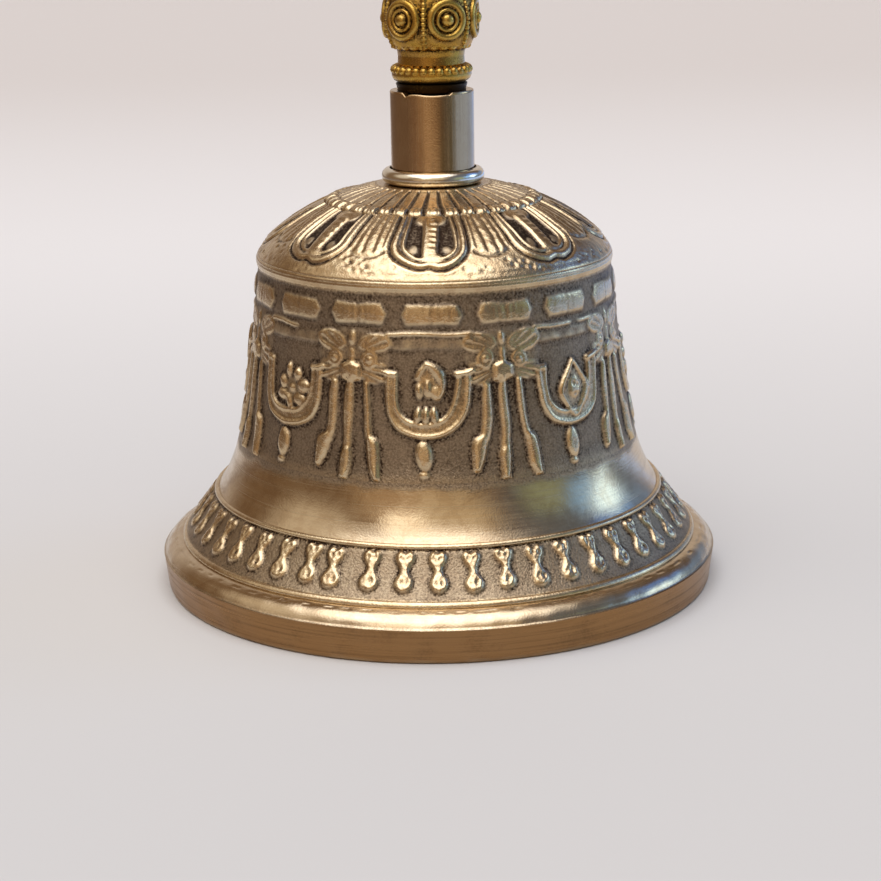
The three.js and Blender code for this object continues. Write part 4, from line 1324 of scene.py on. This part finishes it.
def dome_parts():
    """The outside dome from the shoulder's ridge to the crown's flat, cut at the fine petals' tips."""
    line = dome_line(SHOULDER[0], CROWN_FLAT, SHOULDER[1] + SHOULDER_RIDGE, CROWN_HEIGHT)
    line, run = even(line, 0.1)
    cut = int(np.searchsorted(run, FINE_TIPS))
    return line[:cut + 1], line[cut:]


class HANDBELL_OT_shoulder(bpy.types.Operator):
    """Adds the shoulder's lotus and the ring of fine petals round the collar."""

    bl_idname = "handbell.shoulder"
    bl_label = "Shoulder"

    def execute(self, context):
        lower, upper = dome_parts()

        def lotus(angle, run, height):
            sink = PETAL_SINK * step_up(0.0, 1.2, run)
            return softened(petal_field(angle, run) * step_up(0.0, 1.2, run), 1, 1) - sink

        piece = carved_ring("bell_shoulder", lower, back_of(lower), lotus,
                            columns_for(context, radius=25), 0.155, matted=2.3, sink=PETAL_SINK, broad=1.1)
        placed(piece, metal("petals"), "bell", "cast_bronze", "bell_body")
        line = line_through(upper, (CROWN_HOLE, CROWN_HEIGHT))
        size = np.linalg.norm(upper[-1] - upper[0])

        def fine(angle, run, height):
            return (fine_petals(angle, run) - PETAL_SINK) * step_up(size, size - 0.8, run)

        columns = columns_for(context, radius=17, multiple=context.scene.bell_sizes.fine_petals)
        back = line_through((CROWN_HOLE, CROWN_HEIGHT - SKIN), upper[-1] - (0, SKIN), upper[0] - (0.8, SKIN))
        piece = carved_ring("bell_crown", line, back, fine, columns, 0.16, matted=0.6, sink=PETAL_SINK)
        placed(piece, metal("cast"), "bell", "cast_bronze", "bell_body")
        return {"FINISHED"}


class HANDBELL_OT_inside(bpy.types.Operator):
    """Adds the inner shell of the bell, from the lip up to the pin's hole."""

    bl_idname = "handbell.inside"
    bl_label = "Inside"

    def execute(self, context):
        wall = wall_line(FRIEZE_TOP[1], SHOULDER[1] - WALL, WALL)
        dome = dome_line(wall[-1, 0], CROWN_HOLE, wall[-1, 1], CROWN_HEIGHT - WALL)
        front = line_through(bow_line(INNER_CORNER, wall[0], -0.3), wall, dome)[::-1]
        outer = line_through(
            FRIEZE_FOOT - (1.5, 0.8), FRIEZE_TOP - (1.3, 0.6),
            wall_line(FRIEZE_TOP[1] + 1, SHOULDER[1], 1.3)[::8],
            dome_line(SHOULDER[0] - 1.3, CROWN_HOLE, SHOULDER[1] + 0.5, CROWN_HEIGHT - SKIN, 16))

        def relief(angle, run, height):
            return 0.06 * wander(angle, run, 9.0, 95) + 0.02 * wander(angle, run, 3.0, 96)

        piece = carved_ring("bell_inside", front, outer, relief, 288, 0.5, sharp=60)
        placed(piece, metal("inside"), "bell", "cast_bronze", "bell_body")
        return {"FINISHED"}


class HANDBELL_OT_tube(bpy.types.Operator):
    """Adds the collar, the brushed tube with its rough cut edge, and the pitch in it."""

    bl_idname = "handbell.tube"
    bl_label = "Tube"

    def execute(self, context):
        bore = TUBE_RADIUS + 0.3
        line = line_through((bore, COLLAR_FOOT), (bore + 0.15, COLLAR_FOOT),
                            ridge_line((bore + 0.25, COLLAR_FOOT + 0.05), (bore + 0.25, COLLAR_TOP - 0.05),
                                       COLLAR_RADIUS - bore - 0.25, 24), (bore, COLLAR_TOP))
        back = line_through((bore, COLLAR_TOP - 0.3), (bore, COLLAR_FOOT + 0.3))
        piece = carved_ring("collar", line, back, lambda angle, run, height: 0 * angle, 192, 0.1, sharp=60)
        placed(piece, metal("polished"), "bell", "turned_bronze", "collar_ring")
        self.tube()
        self.pitch()
        return {"FINISHED"}

    def tube(self):
        """The tube's wall, a closed ring of rows. Its top rows follow a rough sawn edge, which has a
        nick at the front left and stands a little higher along each side."""
        inner = PITCH_RADIUS + 0.3
        angle = angles(240)
        ragged = 0.09 * wander(angle, 0, 5.0, 101, around=TUBE_RADIUS, terms=12)
        nick = 0.6 * hump(angle - TURN + math.radians(39), 0, 0.07)
        right = 0.5 * (step_up(0.42, 0.55, angle) - step_up(2.6, 3.2, angle))
        left = 0.4 * step_up(5.75, 5.55, angle) * step_up(3.3, 3.8, angle)
        top = np.minimum(TUBE_TOP - 0.32 + ragged - nick + right + left, TUBE_TOP)
        share = np.linspace(0, 1, 60)[:, None]
        outside = wheel(TUBE_RADIUS + 0 * share, TUBE_FOOT + (top - 0.15 - TUBE_FOOT) * share, angle)
        rounded = wheel(TUBE_RADIUS - 0.12, top, angle)
        inside = wheel(inner + 0 * share[::12], TUBE_FOOT + (top - TUBE_FOOT) * (1 - share[::12]), angle)
        points = np.concatenate([outside, rounded, inside])
        marks = surface_marks(points, 0.4, 1.2, wraps_rows=True)
        piece = closed_surface("tube", points, ring=True, sharp=50, marks=marks)
        placed(piece, metal("brushed"), "bell", "turned_bronze", "socket_tube")

    def pitch(self):
        """The pitch plug, lumpy where it squeezed out round the handle's foot."""
        hole = reach("handle_stem")[1] - 0.3
        line = line_through((0.05, PITCH_FOOT), (PITCH_RADIUS, PITCH_FOOT), (PITCH_RADIUS, PITCH_TOP - 0.1),
                            (PITCH_RADIUS - 0.15, PITCH_TOP), (2.7, PITCH_TOP), (2.7, hole), (0.05, hole))
        piece = turned("pitch", line, columns=96, step=0.35, ends=((0, 0, PITCH_FOOT), (0, 0, hole)))
        placed(piece, poured_pitch(), "bell", "pitch", "pitch_fill")


# The handle's levels, in millimetres above its foot, as the casting in the frame
FOOT = PITCH_TOP
RING_FOOT = FOOT + 1.6
NECK_FOOT = RING_FOOT + 2.7
GLOBE_FOOT = NECK_FOOT + 2.6
GLOBE_MIDDLE = GLOBE_FOOT + 4.5
UPPER_NECK = GLOBE_FOOT + 9.0
UPPER_RING = UPPER_NECK + 2.6
GRIP_FOOT = UPPER_RING + 2.7
BINDING_FOOT = GRIP_FOOT + 14.0
LOTUS_FOOT = BINDING_FOOT + 3.6
DISC_FOOT = LOTUS_FOOT + 10.5
ROSETTE_TURN = math.radians(21)
GLOBE_RADIUS = 7.1


def bead_row(angle, height, level, count, size, rise, turn=0.0, radius=6.0):
    """A row of round beads at one height."""
    local, _ = nearest_copy(angle, count, turn)
    return oval(local * radius, height, (0, level), (size, size), rise, flat=1)


def rosettes(angle, height):
    """Six round rosettes on the globe, each with a broad rim, an inner ring and a boss, and an upright
    string of beads between one rosette and the next."""
    local, _ = nearest_copy(angle, 6, ROSETTE_TURN)
    x, y = local * GLOBE_RADIUS, height - GLOBE_MIDDLE
    away = np.hypot(x, y)
    rim = plateau(0.55 - abs(away - 2.6), 0.5)
    inner = plateau(0.26 - abs(away - 1.55), 0.26)
    boss = np.sqrt(np.clip(1 - (away / 0.95) ** 2, 0, None))
    local, _ = nearest_copy(angle, 6, ROSETTE_TURN + math.pi / 6)
    beside = abs(local * GLOBE_RADIUS)
    bead = 0.72
    along = np.mod(height, bead) / bead - 0.5
    string = np.sqrt(np.clip(1 - (beside / 0.45) ** 2 - (along / 0.55) ** 2, 0, None))
    return most(0.5 * rim, 0.34 * inner, 0.7 * boss, 0.36 * string)


def pointed_petals(angle, height, count, foot, tip, rise, radius=6.0, turn=0.0):
    """A row of petals that stand on one level and end in points: raised rims round a hollow with a rib."""
    share = (height - foot) / (tip - foot)
    local, _ = nearest_copy(angle, count, turn)
    half = math.pi * radius / count * 0.92
    width = half * np.sqrt(np.clip(1 - np.clip(share, 0, 1) ** 2.6, 0, 1))
    inside = width - abs(local * radius)
    rim = np.exp(-((inside - 0.3) / 0.24) ** 4)
    rib = 0.8 * hump(local * radius, 0, 0.22) * (inside > 0.5)
    field = rise * (np.clip(inside / 0.3, 0, 1) * 0.45 + 0.55 * np.maximum(rim, rib))
    return np.where((share > 0) & (share < 1) & (inside > 0), field, 0)


class HANDBELL_OT_handle(bpy.types.Operator):
    """Adds the brass stem in two rings: the foot with its rosette globe, and the grip with its lotus."""

    bl_idname = "handbell.handle"
    bl_label = "Handle"

    def execute(self, context):
        self.lower()
        self.upper()
        return {"FINISHED"}

    def lower(self):
        """Foot, bead ring, neck and globe, on the tang that goes down into the pitch."""
        tang = reach("handle_stem")[1]
        line = line_through(
            (0.05, tang), (2.4, tang), (2.4, FOOT), (4.9, FOOT), (5.25, FOOT + 0.25),
            (5.6, RING_FOOT - 0.15), (5.2, RING_FOOT + 0.05),
            ridge_line((5.15, RING_FOOT + 0.1), (5.0, NECK_FOOT - 0.1), 1.15, 20),
            (5.2, NECK_FOOT + 0.1), (5.15, GLOBE_FOOT - 1.2), (5.35, GLOBE_FOOT - 0.15), (6.0, GLOBE_FOOT),
            bow_line((6.1, GLOBE_FOOT + 0.1), (6.1, UPPER_NECK - 0.1), 1.15),
            (6.0, UPPER_NECK), (5.35, UPPER_NECK + 0.15), (5.2, UPPER_NECK + 1.3), (0.05, UPPER_NECK + 1.3))

        def shape(angle, height):
            beads = bead_row(angle, height, NECK_FOOT - 0.55, 30, 0.62, 0.42)
            away = np.abs(height - GLOBE_MIDDLE)
            globe = rosettes(angle, height) * (away < 4.3)
            lines = 0.10 * np.sin(angle * 24) * (away > 4.2) * (away < 4.6)
            total = beads + globe + lines + 0.02 * wander(angle, height, 2.5, 111, around=6)
            return total * step_up(RING_FOOT - 0.1, RING_FOOT + 0.4, height) * step_up(
                UPPER_NECK + 1.25, UPPER_NECK + 0.9, height)

        # The foot is blackened up to the bead ring: smeared pitch, and painted shade under the ring
        piece = turned("handle_lower", line, columns=320, step=0.13, shape=shape,
                       ends=((0, 0, tang), (0, 0, UPPER_NECK + 1.3)), fine=0.22, broad=0.6, sharp=70,
                       pitch_and_shade_below=RING_FOOT + 0.4)
        placed(piece, metal("brass"), "bell", "cast_brass", "handle_stem")

    def upper(self):
        """Upper ring, grip with standing petals, bindings, lotus and the disc under the vajra."""
        hole = STEM_TOP - 6.3
        line = line_through(
            (0.05, UPPER_NECK + 1.3), (5.2, UPPER_NECK + 1.3), (5.1, UPPER_RING - 0.1),
            ridge_line((5.0, UPPER_RING + 0.1), (5.15, GRIP_FOOT - 0.1), 1.15, 20),
            smooth_line([(5.3, GRIP_FOOT), (6.6, GRIP_FOOT + 5.6), (5.3, BINDING_FOOT)]),
            ridge_line((5.0, BINDING_FOOT + 0.1), (5.0, BINDING_FOOT + 1.75), 0.85, 12),
            ridge_line((5.0, BINDING_FOOT + 1.85), (5.0, LOTUS_FOOT - 0.1), 0.85, 12),
            smooth_line([(5.2, LOTUS_FOOT), (7.5, LOTUS_FOOT + 4.7), (8.6, DISC_FOOT - 0.1)]),
            (DISC_RADIUS - 0.95, DISC_FOOT + 0.15), (DISC_RADIUS - 0.75, DISC_FOOT + 0.3),
            (DISC_RADIUS - 0.75, STEM_TOP - 0.2), (DISC_RADIUS - 0.95, STEM_TOP),
            (2.5, STEM_TOP), (2.5, hole), (0.05, hole))

        def shape(angle, height):
            beads = most(
                bead_row(angle, height, UPPER_RING + 0.55, 30, 0.62, 0.42),
                bead_row(angle, height, BINDING_FOOT + 0.92, 34, 0.5, 0.35),
                bead_row(angle, height, BINDING_FOOT + 2.72, 34, 0.5, 0.35),
                bead_row(angle, height, (DISC_FOOT + STEM_TOP) / 2, 48, 0.5, 0.3, radius=7.6),
            )
            standing = pointed_petals(angle, height, 10, GRIP_FOOT + 0.3, GRIP_FOOT + 7.6, 0.45)
            hanging = pointed_petals(angle, height, 10, BINDING_FOOT - 0.3, GRIP_FOOT + 6.2, 0.45,
                                     turn=math.pi / 10)
            lotus = pointed_petals(angle, height, 8, DISC_FOOT - 0.4, LOTUS_FOOT + 1.2, 0.6, radius=7.4)
            behind = pointed_petals(angle, height, 8, DISC_FOOT - 0.4, LOTUS_FOOT + 0.2, 0.3, radius=7.4,
                                    turn=math.pi / 8)
            total = most(beads, standing, hanging, lotus, behind)
            keep = step_up(UPPER_RING - 0.4, UPPER_RING, height) * step_up(
                STEM_TOP - 0.15, STEM_TOP - 0.3, height)
            return (total + 0.02 * wander(angle, height, 2.5, 113, around=6)) * keep

        def kept(angle, height):
            """The relief on the rows up to the disc's top, and none on those that go down into the hole."""
            outside = np.arange(len(height))[:, None] < np.argmax(height[:, 0] >= STEM_TOP - 0.1)
            return shape(angle, height) * outside

        piece = turned("handle_upper", line, columns=288, step=0.2, shape=kept,
                       ends=((0, 0, UPPER_NECK + 1.3), (0, 0, hole)), fine=0.25, broad=0.8, sharp=70)
        placed(piece, metal("brass"), "bell", "cast_brass", "handle_stem")


PRONGS = 8
HUB_HEIGHT = 7.0
PRONG_FOOT = HUB_HEIGHT * 0.7
PRONG_HEIGHT = 29.0
PRONG_BELLY = 10.0


def swept(path, across, thick, around, sides):
    """A grid of points round a path in one radial plane: an oval of the given half widths, across
    the plane and in it, turned to the path's normal, then turned about the axis by around."""
    along = np.gradient(path, axis=0)
    along /= np.linalg.norm(along, axis=1, keepdims=True)
    normal = np.stack([along[:, 1], -along[:, 0]], 1)
    turn = angles(sides)
    roof = 1 + 0.14 * np.cos(2 * turn) ** 2 + 0.1 * np.cos(turn)
    out = thick[:, None] * np.cos(turn) * roof
    side = across[:, None] * np.sin(turn)
    radius = path[:, 0][:, None] + out * normal[:, 0][:, None]
    height = path[:, 1][:, None] + out * normal[:, 1][:, None]
    x = radius * math.sin(around) + side * math.cos(around)
    y = -radius * math.cos(around) + side * math.sin(around)
    return np.stack([x, y, height], 2)


class HANDBELL_OT_vajra(bpy.types.Operator):
    """Adds the half vajra: a lotus hub, curved prongs round it and a core that ends in the tip."""

    bl_idname = "handbell.vajra"
    bl_label = "Half Vajra"

    def execute(self, context):
        base = STEM_TOP
        peg = base - 6.0
        tip = PRONG_FOOT + PRONG_HEIGHT - 2.0
        line = line_through(
            (0.05, peg), (2.2, peg), (2.2, base), (5.3, base), (5.5, base + 0.15),
            smooth_line([(5.5, base + 0.3), (7.0, base + 2.8), (5.8, base + 5.6), (2.3, base + HUB_HEIGHT)]),
            smooth_line([(2.1, base + 8), (3.1, base + HUB_HEIGHT + 7.3), (2.1, base + tip - 1)]),
            smooth_line([(3.1, base + tip), (2.9, base + tip + 2.2), (1.2, base + tip + 5.0),
                         (0.12, HEAD_TOP - 0.05)]))

        def shape(angle, height):
            hub = pointed_petals(angle, height, 8, base + 0.3, base + 6.6, 0.5, radius=6.4, turn=math.pi / 8)
            facets = 0.16 * np.cos(angle * 4) * step_up(base + 8.5, base + 10, height) * step_up(
                base + tip - 1, base + tip - 2, height)
            flutes = 0.2 * np.cos(angle * 8) * step_up(base + tip, base + tip + 1, height) * step_up(
                HEAD_TOP - 1, HEAD_TOP - 3, height)
            return hub + facets + flutes

        piece = turned("vajra_core", line, columns=240, step=0.22, shape=shape,
                       ends=((0, 0, peg), (0, 0, HEAD_TOP)), fine=0.25, broad=0.9, sharp=60)
        placed(piece, metal("brass"), "bell", "cast_brass", "vajra_head")
        path = smooth_line([
            (4.3, base + PRONG_FOOT - 0.4), (PRONG_BELLY * 0.72, base + PRONG_FOOT + 1.4),
            (PRONG_BELLY * 0.95, base + PRONG_FOOT + PRONG_HEIGHT * 0.2),
            (PRONG_BELLY, base + PRONG_FOOT + PRONG_HEIGHT * 0.4),
            (PRONG_BELLY * 0.78, base + PRONG_FOOT + PRONG_HEIGHT * 0.68),
            (3.4, base + PRONG_FOOT + PRONG_HEIGHT * 0.96), (2.4, base + PRONG_FOOT + PRONG_HEIGHT)], 16)
        share = np.linspace(0, 1, len(path))
        swell = 1 + 0.35 * hump(share, 0.12, 0.07) + 0.12 * hump(share, 0.26, 0.03)
        taper = 1 - 0.35 * step_up(0.45, 1.0, share)
        for number in range(PRONGS):
            around = (number + 0.5) * TURN / PRONGS
            points = swept(path, 1.45 * swell * taper, 1.15 * swell * taper, around, 28)
            marks = surface_marks(points, 0.3, 1.0)
            piece = closed_surface(f"vajra_prong_{number + 1}", points, sharp=50, marks=marks)
            placed(piece, metal("brass"), "bell", "cast_brass", "vajra_head")
        return {"FINISHED"}


EYE_RADIUS = 3.2
EYE_WIRE = 1.0
EYE_LIFT = 2.3  # the clapper's wire lies this far over the pin's: both wires' radii and some play


def eye_ring(name, centre, plane, seed):
    """A forged eye: a torus whose wire is a little uneven, in the XZ or YZ plane."""
    turn = angles(96).T
    around = angles(32)
    size = EYE_WIRE * (0.96 + 0.03 * np.sin(turn * 5 + seed))
    radius = EYE_RADIUS + size * np.cos(around)
    aside = size * np.sin(around)
    flat, up = radius * np.cos(turn), radius * np.sin(turn)
    x, y = (flat, aside) if plane == "XZ" else (aside, flat)
    points = np.stack([x + 0 * up, y + 0 * up, up + centre + 0 * aside], 2)
    marks = surface_marks(points, 0.3, 1.0, wraps_rows=True)
    return closed_surface(name, points, ring=True, sharp=60, marks=marks)


class HANDBELL_OT_clapper(bpy.types.Operator):
    """Adds the hanger pin with its washer, and the clapper that hangs in its eye."""

    bl_idname = "handbell.clapper"
    bl_label = "Clapper"

    def execute(self, context):
        axis = next(j for j in frame["joints"] if j["name"] == "clapper_swing")["pos_m"][2] / MM
        self.hanger(axis)
        self.clapper(axis)
        washer = frame["nodes"]["hanger_washer"]
        washer.data.materials.clear()
        washer.data.materials.append(metal("iron"))
        return {"FINISHED"}

    def hanger(self, axis):
        """The eye in the XZ plane and the shank up through the crown to its peened head."""
        piece = eye_ring("hanger_eye", axis + EYE_RADIUS, "XZ", 1.0)
        placed(piece, metal("iron"), "hanger", "iron", "hanger_pin")
        top = reach("hanger_pin")[2]
        head = top - 1.5
        line = line_through(
            (0.05, axis + 6.3), (1.2, axis + 6.3), (1.55, axis + 6.8), (1.6, axis + 7.6), (1.6, head),
            (2.7, head), (2.75, head + 0.3),
            smooth_line([(2.5, head + 0.8), (1.5, top - 0.25), (0.05, top)]))
        piece = turned("hanger_shank", line, columns=48, step=0.25)
        placed(piece, metal("iron"), "hanger", "iron", "hanger_pin")

    def clapper(self, axis):
        """The rod with its eye in the YZ plane, and the turned bulb that it is peened under."""
        middle = axis + EYE_LIFT - EYE_RADIUS
        piece = eye_ring("clapper_eye", middle, "YZ", 2.0)
        placed(piece, metal("iron"), "clapper", "iron", "clapper_rod")
        foot = reach("clapper_rod")[1]
        bulb_foot, bulb_top = reach("clapper_bulb")[1:]
        line = line_through(
            smooth_line([(0.05, foot), (1.2, foot + 0.15), (2.0, foot + 0.6), (2.4, bulb_foot - 0.2)]),
            (2.45, bulb_foot), (1.3, bulb_foot), (1.28, bulb_top + 6), (1.35, middle - 5.0),
            (1.5, middle - 3.6), (1.1, middle - 3.0), (0.05, middle - 2.9))
        piece = turned("clapper_shaft", line, columns=48, step=0.3,
                       shape=lambda angle, height: 0.03 * wander(angle, height, 4.0, 121, around=1.5))
        placed(piece, metal("iron"), "clapper", "iron", "clapper_rod")
        waist = bulb_foot + 5.2
        outside = smooth_line([(2.8, bulb_foot + 0.05), (5.6, bulb_foot + 2.3), (6.45, waist),
                               (5.05, waist + 4.5), (2.35, bulb_top)])
        line = line_through((1.7, bulb_foot), outside, (1.7, bulb_top))
        back = line_through((1.6, bulb_top - 0.3), (1.6, bulb_foot + 0.3))

        def relief(angle, run, height):
            rings = -0.18 * hump(height, waist, 0.22) - 0.12 * hump(height - waist, 3.2, 0.2)
            return rings + 0.05 * wander(angle, height, 5.0, 122, around=6)

        piece = carved_ring("clapper_bulb_turned", line, back, relief, 144, 0.25, sharp=60)
        placed(piece, metal("turned"), "clapper", "cast_bronze", "clapper_bulb")


class HANDBELL_PT_panel(bpy.types.Panel):
    """Lists the sizes, the colours and the pieces of the bell."""

    bl_idname = "HANDBELL_PT_panel"
    bl_label = "Hand Bell"
    bl_space_type = "VIEW_3D"
    bl_region_type = "UI"
    bl_category = "Hand Bell"

    def draw(self, context):
        scene = context.scene
        for group in (scene.bell_sizes, scene.bell_colours, scene.studio):
            box = self.layout.box()
            for key in group.bl_rna.properties.keys():
                if key not in ("rna_type", "name"):
                    box.prop(group, key)
        for operator in OPERATORS:
            self.layout.operator(operator.bl_idname)


GROUPS = (BellSizes, BellColours, StudioSettings)
OPERATORS = (
    HANDBELL_OT_stage, HANDBELL_OT_lip, HANDBELL_OT_frieze, HANDBELL_OT_skirt, HANDBELL_OT_garland,
    HANDBELL_OT_bar_band, HANDBELL_OT_shoulder, HANDBELL_OT_inside, HANDBELL_OT_tube, HANDBELL_OT_handle,
    HANDBELL_OT_vajra, HANDBELL_OT_clapper,
)
CLASSES = (*GROUPS, *OPERATORS, HANDBELL_PT_panel)


def register():
    for item in CLASSES:
        bpy.utils.register_class(item)
    bpy.types.Scene.bell_sizes = PointerProperty(type=BellSizes)
    bpy.types.Scene.bell_colours = PointerProperty(type=BellColours)
    bpy.types.Scene.studio = PointerProperty(type=StudioSettings)


def unregister():
    del bpy.types.Scene.studio
    del bpy.types.Scene.bell_colours
    del bpy.types.Scene.bell_sizes
    for item in reversed(CLASSES):
        bpy.utils.unregister_class(item)


def main():
    register()
    for operator in OPERATORS:
        group, name = operator.bl_idname.split(".")
        getattr(getattr(bpy.ops, group), name)()


if __name__ == "__main__":
    main()
